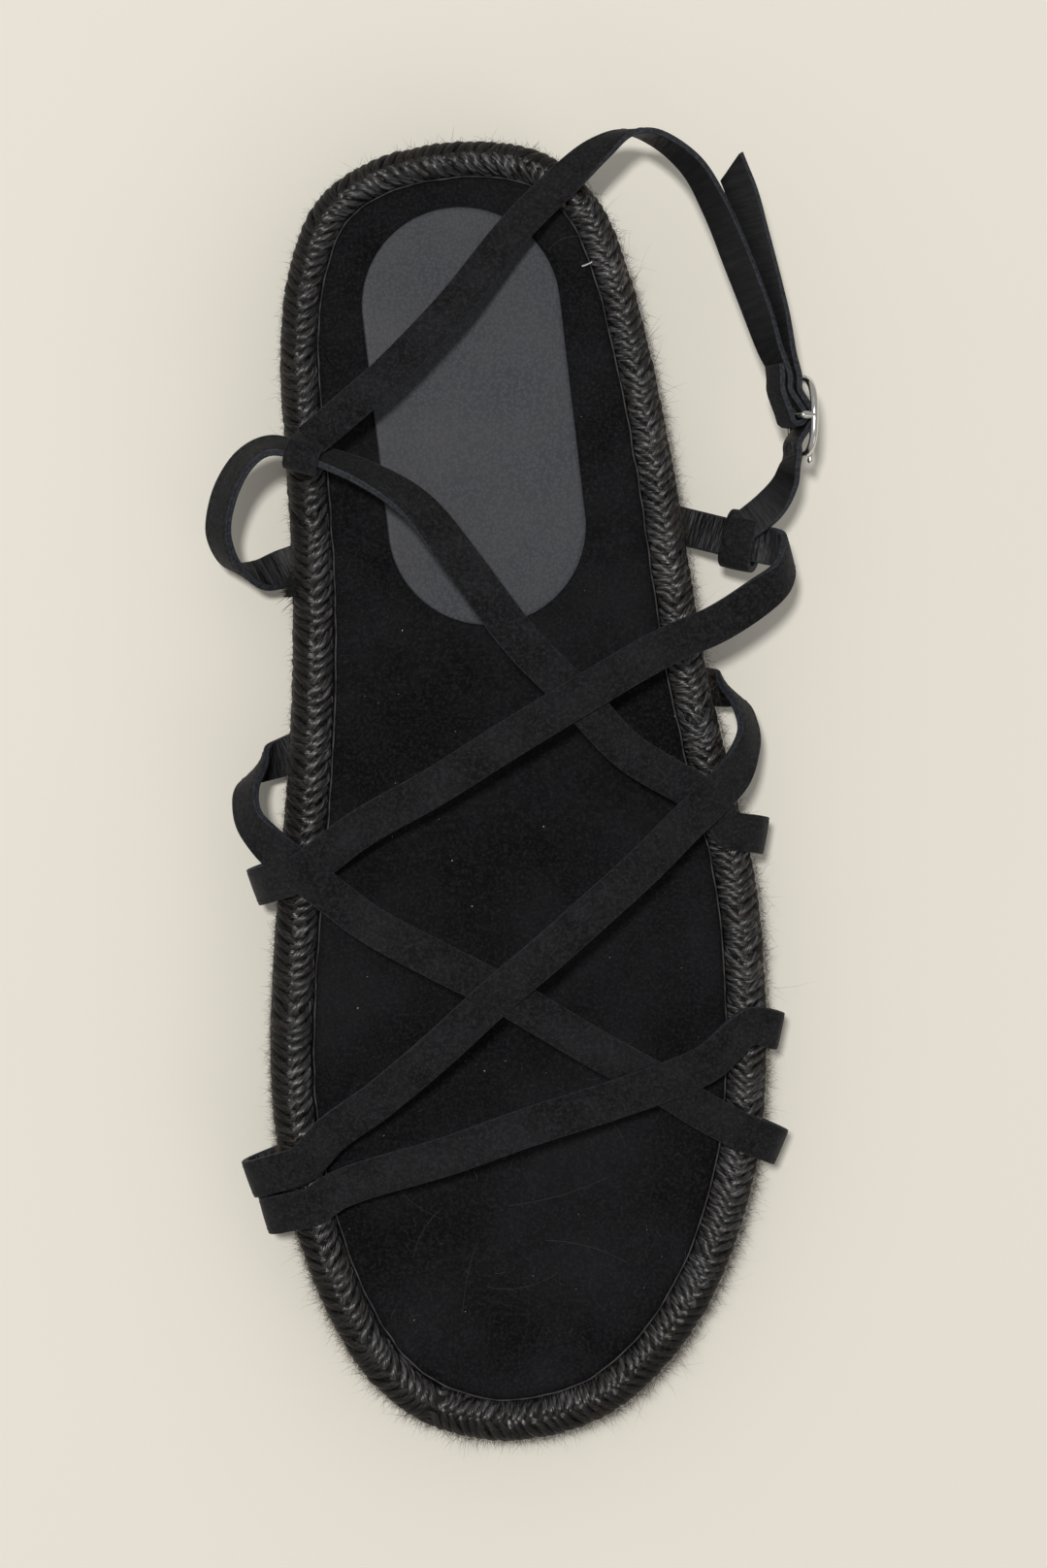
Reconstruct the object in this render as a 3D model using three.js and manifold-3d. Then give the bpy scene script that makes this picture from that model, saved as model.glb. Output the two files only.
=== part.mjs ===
// Espadrille sandal for the left foot, in millimetres.
// +Z is up, +Y points to the heel, -Y to the toe and +X to the outer (lateral) side of the foot.
// The origin lies on the ground, under the middle of the sole's length and of the ball's width.
import * as THREE from "three";
import Module from "manifold-3d";
import { mergeVertices } from "three/addons/utils/BufferGeometryUtils.js";

const wasm = await Module();
wasm.setup();

// Driving sizes of the shoe
const soleLength = 266;
const ballWidth = 103;
const heelHeight = 26.5;
const ballHeight = 24.7;
const instepRise = 24;

// Sole sizes
const rubberThickness = 3.5;
const rubberInset = 3;
const rubberBevel = 0.9;
const toeSpring = 4.5;
const archRelief = 1.2;
const heelBevel = 1.5;
const ropeBulge = 1.5;
const edgingHeight = 7.2;
const edgingWidth = 9;
const insoleDrop = 2.6;
const insoleRound = 1.2;
const padLength = 85.5;
const padWidth = 40.6;
const padThickness = 0.8;
const padTurn = 6.8;

// Strap sizes
const strapWidth = 7.8;
const strapThickness = 1.8;
const seamDepth = 0.3;
const ankleWidth = 7;
const ankleThickness = 1.4;
const slotDepth = 9;
const slotLead = 1;
const slotRoom = 0.5;
const loopSlack = 1;
const knotLift = 1;
const foldReach = 5.6;
const crestLift = 0.6;
const returnLength = 10.5;
const tailLength = 46;
const tailPoint = 4;
const holeDiameter = 2;
const holePitch = 7;
const holeCount = 4;
const holesTowardKnot = 1;

// Buckle sizes
const wireDiameter = 1.6;
const buckleLength = 17;
const buckleWidth = 13;
const barDiameter = 1.2;
const barDrop = 2.4;
const prongDiameter = 1.2;

// Clearance between pieces that touch on the real shoe
const clearance = 0.3;

// Number of faces along the curves
const sideSteps = 45;
const strapStep = 3;
const fineStep = 1.5;
const endSteps = 10;
const wireSides = 10;

const vector = (x, y, z) => new THREE.Vector3(x, y, z);
const upward = vector(0, 0, 1);
const radians = THREE.MathUtils.degToRad;
const mix = THREE.MathUtils.lerp;
const ease = (value, from, to) => THREE.MathUtils.smoothstep(value, from, to);

// Outline of the sole, seen from above, from heel to toe.
// along is a share of the sole's length, medial and lateral are shares of the ball's width.
const heelTip = { along: 0, across: -0.082 };
const toeTip = { along: 1, across: -0.029 };
const outlineRows = [
  { along: 0.006, medial: -0.215, lateral: 0.030 },
  { along: 0.022, medial: -0.325, lateral: 0.104 },
  { along: 0.050, medial: -0.408, lateral: 0.168 },
  { along: 0.100, medial: -0.458, lateral: 0.221 },
  { along: 0.160, medial: -0.475, lateral: 0.262 },
  { along: 0.240, medial: -0.464, lateral: 0.306 },
  { along: 0.320, medial: -0.452, lateral: 0.341 },
  { along: 0.400, medial: -0.450, lateral: 0.376 },
  { along: 0.480, medial: -0.459, lateral: 0.424 },
  { along: 0.560, medial: -0.475, lateral: 0.475 },
  { along: 0.640, medial: -0.490, lateral: 0.497 },
  { along: 0.720, medial: -0.494, lateral: 0.500 },
  { along: 0.780, medial: -0.478, lateral: 0.485 },
  { along: 0.840, medial: -0.443, lateral: 0.446 },
  { along: 0.900, medial: -0.384, lateral: 0.378 },
  { along: 0.950, medial: -0.305, lateral: 0.280 },
  { along: 0.984, medial: -0.196, lateral: 0.160 },
];

const alongToY = (along) => (0.5 - along) * soleLength;
const yToAlong = (y) => THREE.MathUtils.clamp(0.5 - y / soleLength, 0, 1);
const planPoint = (along, across) => vector(across * ballWidth, alongToY(along), 0);

const outlineCurve = new THREE.CatmullRomCurve3([
  planPoint(heelTip.along, heelTip.across),
  ...outlineRows.map((row) => planPoint(row.along, row.medial)),
  planPoint(toeTip.along, toeTip.across),
  ...outlineRows.map((row) => planPoint(row.along, row.lateral)).reverse(),
], true, "centripetal");
const toeParameter = 0.5;

// The point of the outline at one share of the length, on the medial or the lateral side
function outlinePoint(along, side) {
  const wanted = alongToY(along);
  let nearHeel = side === "medial" ? 0 : 1;
  let nearToe = toeParameter;
  for (let step = 0; step < 40; step += 1) {
    const middle = (nearHeel + nearToe) / 2;
    if (outlineCurve.getPoint(middle).y > wanted) nearHeel = middle;
    else nearToe = middle;
  }
  return outlineCurve.getPoint((nearHeel + nearToe) / 2);
}

// Rounded ends need their points closer together, so the shares follow a cosine
const shareAt = (step) => (1 - Math.cos((Math.PI * step) / sideSteps)) / 2;
const outline = [planPoint(heelTip.along, heelTip.across)];
for (let step = 1; step < sideSteps; step += 1) outline.push(outlinePoint(shareAt(step), "medial"));
outline.push(planPoint(toeTip.along, toeTip.across));
for (let step = sideSteps - 1; step > 0; step -= 1) outline.push(outlinePoint(shareAt(step), "lateral"));

// Heights along the sole
const springStart = 0.74;
const spring = (along) => toeSpring * Math.max(0, (along - springStart) / (1 - springStart)) ** 2;
const bevel = (along) => heelBevel * Math.max(0, 1 - along / 0.05) ** 2;
const relief = (along) => archRelief * ease(along, 0.31, 0.36) * (1 - ease(along, 0.41, 0.46));
const treadHeight = (along) => spring(along) + bevel(along) + relief(along);
const rubberTop = (along) => spring(along) + rubberThickness;
const ropeBase = (along) => rubberTop(along) + clearance;
const crest = (along) => spring(along) + mix(heelHeight, ballHeight, ease(along, 0.2, 0.6));
const edgingBase = (along) => crest(along) - edgingHeight;
const ropeTop = (along) => edgingBase(along) - clearance;
const slotHeight = (along) => (ropeBase(along) + ropeTop(along)) / 2;
const insoleTop = (along) => crest(along) - insoleDrop;
const edgingWidthAt = (along) => edgingWidth * mix(0.84, 1, ease(along, 0.05, 0.5));

// A closed body from rings of points: each ring is joined to the next, and the ends are closed
function loft(rings, cap) {
  const size = rings[0].length;
  const positions = rings.flat().flatMap((point) => point.toArray());
  const faces = [];
  const count = cap ? rings.length - 1 : rings.length;
  for (let ring = 0; ring < count; ring += 1) {
    const here = ring * size;
    const next = ((ring + 1) % rings.length) * size;
    for (let side = 0; side < size; side += 1) {
      const turn = (side + 1) % size;
      faces.push(here + side, here + turn, next + turn, here + side, next + turn, next + side);
    }
  }
  if (cap) {
    const last = (rings.length - 1) * size;
    for (const [a, b, c] of cap(size)) faces.push(c, b, a, last + a, last + b, last + c);
  }
  const geometry = new THREE.BufferGeometry();
  geometry.setAttribute("position", new THREE.BufferAttribute(new Float32Array(positions), 3));
  geometry.setIndex(faces);
  return faceOutward(geometry);
}

// A ladder of triangles between the two halves of a ring, and a fan for a small section
function ladderCap(size) {
  const faces = [];
  for (let step = 0; step < size / 2; step += 1) {
    const partner = (size - step) % size;
    if (step > 0) faces.push([step, step + 1, partner]);
    if (step + 1 < size / 2) faces.push([step + 1, size - step - 1, partner]);
  }
  return faces;
}

function fanCap(size) {
  return Array.from({ length: size - 2 }, (_, step) => [0, step + 1, step + 2]);
}

// Turns every face over when the body was wound inside out
function faceOutward(geometry) {
  const place = geometry.attributes.position;
  const faces = geometry.index.array;
  let volume = 0;
  for (let face = 0; face < faces.length; face += 3) {
    const [a, b, c] = [0, 1, 2].map((corner) => vector().fromBufferAttribute(place, faces[face + corner]));
    volume += a.dot(b.cross(c));
  }
  if (volume < 0) geometry.setIndex(Array.from(faces).reverse());
  return geometry;
}

function toSolid(geometry) {
  const vertProperties = new Float32Array(geometry.attributes.position.array);
  const triVerts = new Uint32Array(geometry.index.array);
  return new wasm.Manifold(new wasm.Mesh({ numProp: 3, vertProperties, triVerts }));
}

function toGeometry(solid) {
  const mesh = solid.getMesh();
  const geometry = new THREE.BufferGeometry();
  geometry.setAttribute("position", new THREE.BufferAttribute(new Float32Array(mesh.vertProperties), 3));
  geometry.setIndex(Array.from(mesh.triVerts));
  return geometry;
}

const joined = (solids) => solids.reduce((whole, next) => whole.add(next));
const cutFrom = (solid, cutters) => cutters.reduce((rest, cutter) => rest.subtract(cutter), solid);

// One ring of a sole layer: the outline moved inwards, at a height that follows the sole
function layerRing(border, inset, height) {
  return border.map((point, index) => {
    const before = border[(index + border.length - 1) % border.length];
    const after = border[(index + 1) % border.length];
    const run = after.clone().sub(before).normalize();
    const inward = vector(-run.y, run.x, 0);
    const place = point.clone().addScaledVector(inward, inset(yToAlong(point.y)));
    place.z = height(yToAlong(place.y));
    return place;
  });
}

const layer = (border, rows) => loft(rows.map((row) => layerRing(border, row.inset, row.height)), ladderCap);

// Rubber outsole, with its toe spring, the low relief under the arch and the bevel of its heel
const outsoleShape = layer(outline, [
  { inset: () => rubberInset + rubberBevel, height: treadHeight },
  { inset: () => rubberInset, height: (along) => treadHeight(along) + rubberBevel },
  { inset: () => rubberInset, height: rubberTop },
]);

// Rope sole: two coils of braid, one on the other, each a bulge in the side
const coilProfile = [
  { depth: 1, rise: 0 },
  { depth: 0.35, rise: 0.18 },
  { depth: 0, rise: 0.5 },
  { depth: 0.35, rise: 0.82 },
];
const coilCount = 2;
const ropeRows = [];
for (let coil = 0; coil < coilCount; coil += 1) {
  for (const { depth, rise } of coilProfile) {
    const share = (coil + rise) / coilCount;
    ropeRows.push({
      inset: () => ropeBulge * depth,
      height: (along) => mix(ropeBase(along), ropeTop(along), share),
    });
  }
}
ropeRows.push({ inset: () => ropeBulge, height: ropeTop });
const ropeShape = layer(outline, ropeRows);

// Braided edging: a rounded ring that stands around the insole
const edgingProfile = [
  { across: 0.10, rise: 0 },
  { across: 0, rise: 0.3 },
  { across: 0.07, rise: 0.62 },
  { across: 0.26, rise: 0.9 },
  { across: 0.5, rise: 1 },
  { across: 0.76, rise: 0.92 },
  { across: 0.94, rise: 0.7 },
  { across: 1, rise: 0.4 },
  { across: 1, rise: 0 },
];
const edgingShape = loft(edgingProfile.map(({ across, rise }) => layerRing(
  outline,
  (along) => across * edgingWidthAt(along),
  (along) => edgingBase(along) + rise * edgingHeight,
)));

// Insole, a padded board inside the edging
const insoleInset = (along) => edgingWidthAt(along) + clearance;
const insoleShape = layer(outline, [
  { inset: insoleInset, height: edgingBase },
  { inset: insoleInset, height: (along) => insoleTop(along) - insoleRound },
  { inset: (along) => insoleInset(along) + insoleRound, height: insoleTop },
]);

// Heel pad: a thin leather stadium on the insole, turned a little from the sole's long line
const padCentre = { along: 0.212, across: -0.092 };
const padSteps = 20;
function padBorder() {
  const radius = padWidth / 2;
  const straight = padLength / 2 - radius;
  const centre = planPoint(padCentre.along, padCentre.across);
  const turn = radians(padTurn);
  return Array.from({ length: 2 * padSteps }, (_, step) => {
    const angle = Math.PI / 2 + (Math.PI * step) / padSteps;
    const end = step <= padSteps / 2 || step > 1.5 * padSteps ? straight : -straight;
    const point = vector(radius * Math.cos(angle), radius * Math.sin(angle) + end, 0);
    return point.applyAxisAngle(upward, turn).add(centre);
  });
}
const padRound = 0.4;
const padShape = layer(padBorder(), [
  { inset: () => 0, height: (along) => insoleTop(along) + clearance },
  { inset: () => 0, height: (along) => insoleTop(along) + clearance + padThickness - padRound },
  { inset: () => padRound, height: (along) => insoleTop(along) + clearance + padThickness },
]);

// Strap routes. Each row is a place that the middle of the strap passes:
// along and across are shares of length and ball width. up is above the edging's crest as a share of
// the instep's rise, or, below the crest, a share of the drop from there to the slots.
// layer counts the straps that lie over this one. swing and roll turn the strap's width on loops:
// the compass angle of its width, and how far it stands up on edge.
const folded = (along, side, heading, reach = 1, over = 0) => ({ kind: "folded", along, side, heading, reach, over });
const straight = (along, side, heading) => ({ kind: "straight", along, side, heading });
const routes = {
  a: {
    start: folded(0.821, "medial", 16),
    rows: [
      { along: 0.801, across: -0.355, up: 0.26 },
      { along: 0.773, across: -0.150, up: 0.70 },
      { along: 0.753, across: -0.013, up: 0.84 },
      { along: 0.733, across: 0.164, up: 0.70 },
      { along: 0.722, across: 0.262, up: 0.52 },
      { along: 0.707, across: 0.368, up: 0.28 },
    ],
    end: folded(0.684, "lateral", 168, 0.55),
  },
  b: {
    start: folded(0.790, "medial", 20, 1.3),
    rows: [
      { along: 0.761, across: -0.379, up: 0.22 },
      { along: 0.733, across: -0.287, up: 0.46 },
      { along: 0.695, across: -0.178, up: 0.72 },
      { along: 0.651, across: -0.059, up: 0.90 },
      { along: 0.623, across: 0.025, up: 0.98 },
      { along: 0.590, across: 0.122, up: 0.96 },
      { along: 0.559, across: 0.216, up: 0.80 },
      { along: 0.524, across: 0.316, up: 0.50 },
      { along: 0.507, across: 0.366, up: 0.35 },
      { along: 0.486, across: 0.422, up: 0.20, swing: 145, roll: 20 },
      { along: 0.458, across: 0.455, up: 0.03, swing: 180, roll: 58 },
      { along: 0.437, across: 0.449, up: -0.26, swing: 195, roll: 68 },
      { along: 0.424, across: 0.431, up: -0.62, swing: 230, roll: 80 },
      { along: 0.420, across: 0.413, up: -0.88, swing: 80, roll: 45 },
    ],
    end: straight(0.418, "lateral", 172),
  },
  c: {
    start: folded(0.770, "lateral", 157, 0.85),
    rows: [
      { along: 0.747, across: 0.368, up: 0.22 },
      { along: 0.722, across: 0.264, up: 0.52, layer: 1 },
      { along: 0.693, across: 0.130, up: 0.68 },
      { along: 0.650, across: -0.058, up: 0.90, layer: 1 },
      { along: 0.625, across: -0.185, up: 0.72 },
      { along: 0.600, across: -0.304, up: 0.46 },
      { along: 0.575, across: -0.390, up: 0.22 },
      { along: 0.556, across: -0.452, up: 0.17, layer: 1 },
      { along: 0.538, across: -0.505, up: 0.10, swing: 40, roll: 30 },
      { along: 0.522, across: -0.537, up: 0.02, swing: 17, roll: 55 },
      { along: 0.502, across: -0.543, up: -0.24, swing: 354, roll: 65 },
      { along: 0.486, across: -0.524, up: -0.60, swing: 320, roll: 80 },
      { along: 0.478, across: -0.497, up: -0.88, swing: 119, roll: 45 },
    ],
    end: straight(0.472, "medial", 25),
  },
  d: {
    start: folded(0.567, "medial", 20, 1.05, 1),
    rows: [
      { along: 0.528, across: -0.321, up: 0.36 },
      { along: 0.497, across: -0.183, up: 0.56 },
      { along: 0.463, across: -0.047, up: 0.73 },
      { along: 0.428, across: 0.100, up: 0.78 },
      { along: 0.391, across: 0.268, up: 0.57 },
      { along: 0.372, across: 0.380, up: 0.42 },
      { along: 0.352, across: 0.462, up: 0.32, swing: 128, roll: 12 },
      { along: 0.337, across: 0.511, up: 0.22, swing: 145, roll: 45 },
      { along: 0.322, across: 0.530, up: 0.07, swing: 175, roll: 68 },
      { along: 0.314, across: 0.530, up: -0.12, swing: 100, roll: 35 },
      { along: 0.310, across: 0.497, up: -0.27, swing: 80, roll: 4 },
      { along: 0.306, across: 0.450, up: -0.40, swing: 78, roll: 0 },
      { along: 0.300, across: 0.398, up: -0.68 },
    ],
    end: straight(0.292, "lateral", 166),
  },
  e: {
    start: folded(0.532, "lateral", 170, 0.78),
    rows: [
      { along: 0.508, across: 0.370, up: 0.35, layer: 1 },
      { along: 0.470, across: 0.203, up: 0.52 },
      { along: 0.429, across: 0.096, up: 0.78, layer: 1 },
      { along: 0.387, across: -0.013, up: 0.76 },
      { along: 0.327, across: -0.130, up: 0.70 },
      { along: 0.284, across: -0.219, up: 0.61, swing: 220, roll: 30 },
      { along: 0.260, across: -0.316, up: 0.53, swing: 235, roll: 50 },
      { along: 0.244, across: -0.430, up: 0.44, swing: 248, roll: 65 },
      { along: 0.239, across: -0.497, up: 0.36, swing: 276, roll: 65 },
      { along: 0.250, across: -0.549, up: 0.20, swing: 315, roll: 62 },
      { along: 0.277, across: -0.588, up: -0.02, swing: 343, roll: 60 },
      { along: 0.305, across: -0.596, up: -0.30, swing: 6, roll: 62 },
      { along: 0.327, across: -0.566, up: -0.64, swing: 53, roll: 80 },
      { along: 0.333, across: -0.513, up: -0.88, swing: 270, roll: 45 },
    ],
    end: straight(0.325, "medial", 20),
  },
};

const compass = (degrees) => vector(Math.cos(radians(degrees)), Math.sin(radians(degrees)), 0);
const widthVector = (swing, roll) => compass(swing)
  .multiplyScalar(Math.cos(radians(roll)))
  .addScaledVector(upward, Math.sin(radians(roll)));

// Height of a strap's middle from the edging's crest
function strapHeight(along, up, under = 0) {
  const rise = up < 0 ? up * (crest(along) - slotHeight(along)) : up * instepRise;
  return crest(along) + rise - under * (strapThickness - seamDepth);
}

function rowKey(row) {
  const place = planPoint(row.along, row.across);
  place.z = strapHeight(yToAlong(place.y), row.up, row.layer);
  return { place, width: "swing" in row ? widthVector(row.swing, row.roll) : undefined };
}

// How a strap leaves the sole: out of its slot and, when it is folded, up and back over the edging
function endKeys(end) {
  const wall = outlinePoint(end.along, end.side);
  const outward = compass(end.heading).negate();
  const width = vector().crossVectors(upward, outward);
  const slot = slotHeight(end.along);
  const top = crest(end.along);
  const at = (out, height) => {
    const place = wall.clone().addScaledVector(outward, out);
    place.z = height;
    return { place, width: width.clone() };
  };
  const keys = [at(-slotDepth, slot), at(-slotDepth / 2, slot), at(slotLead, slot)];
  if (end.kind === "straight") return keys;
  const reach = end.reach * foldReach - strapThickness / 2;
  const drop = top - slot;
  const over = clearance + strapThickness / 2 + crestLift + end.over * (strapThickness - seamDepth);
  return [
    ...keys,
    at(reach * 0.84, slot + drop * 0.17),
    at(reach, slot + drop * 0.45),
    at(reach * 0.86, slot + drop * 0.74),
    at(reach * 0.3, top - drop * 0.03 + end.over * (strapThickness - seamDepth)),
    at(-edgingWidthAt(end.along) * 0.5, top + over),
  ];
}

const slotCutter = (end) => {
  const wall = outlinePoint(end.along, end.side);
  const run = slotDepth + 2 * clearance + foldReach;
  const box = new THREE.BoxGeometry(run, strapWidth + 2 * slotRoom, strapThickness + 2 * slotRoom);
  box.translate(foldReach - run / 2 + clearance, 0, 0);
  box.rotateZ(radians(end.heading) + Math.PI);
  box.translate(wall.x, wall.y, slotHeight(end.along));
  return toSolid(merged(box));
};

function merged(geometry) {
  geometry.deleteAttribute("normal");
  geometry.deleteAttribute("uv");
  return mergeVertices(geometry, 1e-4);
}

// Frames along a ribbon: its middle, its run, its width and the way that its face looks
function ribbonFrames(keys, step = strapStep) {
  const curve = new THREE.CatmullRomCurve3(keys.map((key) => key.place), false, "centripetal");
  const last = keys.length - 1;
  const widths = keys.map((key, index) => key.width?.clone() ?? vector().crossVectors(
    upward,
    keys[Math.min(index + 1, last)].place.clone().sub(keys[Math.max(index - 1, 0)].place),
  ).normalize());
  for (let index = 1; index <= last; index += 1) {
    if (widths[index].dot(widths[index - 1]) < 0) widths[index].negate();
  }
  const count = Math.round(curve.getLength() / step);
  return Array.from({ length: count + 1 }, (_, sample) => {
    const parameter = curve.getUtoTmapping(sample / count);
    return frameAt(curve, widths, parameter);
  });
}

function frameAt(curve, widths, parameter) {
  const last = widths.length - 1;
  const before = Math.min(Math.floor(parameter * last), last - 1);
  const run = curve.getTangent(parameter);
  const width = widths[before].clone().lerp(widths[before + 1], parameter * last - before);
  width.addScaledVector(run, -width.dot(run)).normalize();
  return { place: curve.getPoint(parameter), run, width, face: vector().crossVectors(run, width) };
}

const corners = [[-1, -1], [1, -1], [1, 1], [-1, 1]];
function ribbon(frames, width, thickness) {
  return toSolid(loft(frames.map((frame) => corners.map(([across, through]) => frame.place.clone()
    .addScaledVector(frame.width, (across * width) / 2)
    .addScaledVector(frame.face, (through * thickness) / 2))), fanCap));
}

const routeKeys = (route) => [
  ...endKeys(route.start),
  ...route.rows.map(rowKey),
  ...endKeys(route.end).reverse(),
];
const upperFrames = Object.values(routes).map((route) => ribbonFrames(routeKeys(route)));
const upper = joined(upperFrames.map((frames) => ribbon(frames, strapWidth, strapThickness)));

const ends = Object.values(routes).flatMap((route) => [route.start, route.end]);
const ropeSole = cutFrom(toSolid(ropeShape), ends.map(slotCutter));

// The frame of a strap nearest to one row of its route, where another strap is looped round it
function hostFrame(route, rowIndex) {
  const wanted = rowKey(route.rows[rowIndex]).place;
  const frames = ribbonFrames(routeKeys(route), strapStep / 4);
  return frames.reduce((best, frame) => (
    frame.place.distanceTo(wanted) < best.place.distanceTo(wanted) ? frame : best));
}

// A strap end turned round another strap and stitched back on itself: an oval band
function turnedEnd(host, width, thickness) {
  const halfWide = strapWidth / 2 + clearance + loopSlack / 2;
  const halfThick = strapThickness / 2 + clearance + loopSlack / 2;
  const band = [];
  for (let step = 0; step < 2 * endSteps; step += 1) {
    const angle = (Math.PI * (step + 0.5)) / endSteps;
    const side = Math.sign(Math.cos(angle));
    band.push({
      outward: [Math.cos(angle), Math.sin(angle)],
      middle: [side * (halfWide - halfThick), 0],
    });
  }
  const ring = (lengthwise, radius) => band.map(({ outward, middle }) => host.place.clone()
    .addScaledVector(host.run, lengthwise)
    .addScaledVector(host.width, middle[0] + radius * outward[0])
    .addScaledVector(host.face, middle[1] + radius * outward[1]));
  const outer = halfThick + thickness;
  return toSolid(loft([
    ring(-width / 2, halfThick),
    ring(width / 2, halfThick),
    ring(width / 2, outer),
    ring(-width / 2, outer),
  ]));
}

// Buckle: its own frame, with run towards the toe, face outwards and width upwards
const buckleSeat = { along: 0.2115, across: 0.562, up: -0.04, heading: 270, lean: 73 };
const buckleWidthLine = widthVector(buckleSeat.heading + 90, buckleSeat.lean);
const buckleRun = compass(buckleSeat.heading);
const buckle = {
  place: rowKey(buckleSeat).place,
  run: buckleRun,
  width: buckleWidthLine,
  face: vector().crossVectors(buckleWidthLine, buckleRun),
};
const inBuckle = (run, face, width = 0) => buckle.place.clone()
  .addScaledVector(buckle.run, run)
  .addScaledVector(buckle.face, face)
  .addScaledVector(buckle.width, width);

// Where the layers of strap lie in the buckle, from the ring inwards
const wire = wireDiameter / 2;
const layerPitch = ankleThickness + clearance;
const layerSlack = 0.4;
const barWrap = barDiameter / 2 + clearance + ankleThickness / 2;
const endReach = buckleLength / 2 - wire;
const tailInside = -(wire + clearance + layerSlack + ankleThickness / 2);
const ankleInside = tailInside - layerPitch - layerSlack;
const ankleOverBar = -barDrop + barWrap;
const tailOverBar = ankleOverBar + layerPitch;
const ringLeave = endReach * 0.72;
const buckleKey = (run, face) => ({ place: inBuckle(run, face), width: buckle.width.clone() });

function wireTube(points, diameter) {
  const section = new THREE.Shape().absarc(0, 0, diameter / 2, 0, 2 * Math.PI);
  const path = new THREE.CatmullRomCurve3(points, false, "centripetal");
  const steps = Math.max(1, 3 * (points.length - 1));
  return toSolid(merged(new THREE.ExtrudeGeometry(section, {
    steps: points.length > 2 ? steps : 1,
    curveSegments: wireSides / 2,
    bevelEnabled: false,
    extrudePath: path,
  })));
}

const ringSteps = 28;
const ringPower = 0.75;
function buckleRing() {
  const halfLong = buckleLength / 2 - wire;
  const halfWide = buckleWidth / 2 - wire;
  const bend = (value) => Math.sign(value) * Math.abs(value) ** ringPower;
  const line = (angle) => inBuckle(halfLong * bend(Math.cos(angle)), 0, halfWide * bend(Math.sin(angle)));
  const rings = Array.from({ length: ringSteps }, (_, step) => {
    const angle = (2 * Math.PI * (step + 0.5)) / ringSteps;
    const run = line(angle + 0.01).sub(line(angle - 0.01)).normalize();
    const outward = vector().crossVectors(run, buckle.face);
    return Array.from({ length: wireSides }, (_unused, side) => {
      const turn = (2 * Math.PI * side) / wireSides;
      return line(angle)
        .addScaledVector(outward, wire * Math.cos(turn))
        .addScaledVector(buckle.face, wire * Math.sin(turn));
    });
  });
  return toSolid(loft(rings));
}

const barHalf = buckleWidth / 2 - wire;
const buckleFrame = joined([
  buckleRing(),
  wireTube([inBuckle(0, -barDrop, -barHalf - wire / 2), inBuckle(0, -barDrop, barHalf + wire / 2)], barDiameter),
  ...[-barHalf, barHalf].map((side) => (
    wireTube([inBuckle(0, -barDrop - barDiameter / 2, side), inBuckle(0, 0, side)], wireDiameter))),
]);

// Prong: hooked round the bar, out through the strap and down on to the ring's toe end
const prongSeat = wire + clearance + prongDiameter / 2;
const hook = barDiameter / 2 + clearance + prongDiameter / 2;
const prongPoints = [
  inBuckle(hook * 0.7, -barDrop - hook * 0.7),
  inBuckle(-hook * 0.2, -barDrop - hook),
  inBuckle(-hook, -barDrop),
  inBuckle(-hook * 0.35, -barDrop + hook),
  inBuckle(0.5, 0.3),
  inBuckle(1.2, prongSeat + 0.2),
  inBuckle(endReach * 0.45, prongSeat + 0.5),
  inBuckle(endReach + 1.2, prongSeat),
];
const prong = wireTube(prongPoints, prongDiameter);
const prongRoom = wireTube(prongPoints, prongDiameter + 2 * clearance);

const turnRadius = strapThickness / 2 + clearance + loopSlack / 2 + ankleThickness / 2;

// Ankle strap: looped round strap e, over the insole and the heel's edging, then round the bar
const ankleRows = [
  { along: 0.206, across: -0.330, up: 0.64 },
  { along: 0.188, across: -0.278, up: 0.65 },
  { along: 0.136, across: -0.150, up: 0.60 },
  { along: 0.075, across: -0.024, up: 0.36 },
  { along: 0.038, across: 0.068, up: 0.13 },
  { along: 0.008, across: 0.152, up: 0.06, swing: 303, roll: 42 },
  { along: -0.005, across: 0.208, up: 0.02, swing: 290, roll: 76 },
  { along: -0.003, across: 0.262, up: -0.01, swing: 70, roll: 76 },
  { along: 0.018, across: 0.338, up: -0.04, swing: 44, roll: 60 },
  { along: 0.050, across: 0.388, up: -0.05, swing: 28, roll: 50 },
  { along: 0.092, across: 0.434, up: -0.06, swing: 18, roll: 42 },
  { along: 0.132, across: 0.474, up: -0.06, swing: 14, roll: 44 },
  { along: 0.158, across: 0.497, up: -0.05, swing: 8, roll: 56 },
];
const knot = hostFrame(routes.e, 7);
const knotFace = knot.face.clone().multiplyScalar(Math.sign(knot.face.y));
const ankleStart = {
  place: knot.place.clone().addScaledVector(knotFace, turnRadius).addScaledVector(upward, knotLift),
  width: knot.run.clone(),
};
const beforeBuckle = [
  ankleStart,
  ...ankleRows.map(rowKey),
  buckleKey(-endReach, ankleInside),
  buckleKey(-ringLeave, ankleInside),
  buckleKey(-clearance, ankleOverBar),
];
const wrap = [45, 0, -45].map((angle) => buckleKey(
  barWrap * Math.cos(radians(angle)),
  -barDrop + barWrap * Math.sin(radians(angle)),
));
const behindBar = -barDrop - barWrap;
const ankleReturn = [
  buckleKey(-clearance, behindBar),
  buckleKey(-ringLeave, ankleInside - layerPitch),
  buckleKey(-endReach, ankleInside - layerPitch),
  buckleKey(-returnLength, ankleInside - layerPitch - clearance),
];
const mainFrames = ribbonFrames(beforeBuckle);
const wrapFrames = ribbonFrames([...beforeBuckle.slice(-3), ...wrap, ...ankleReturn], 0.8);
const slitLead = 1;
const slitLength = 2 * (barWrap + slitLead) + slitLead;
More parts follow.
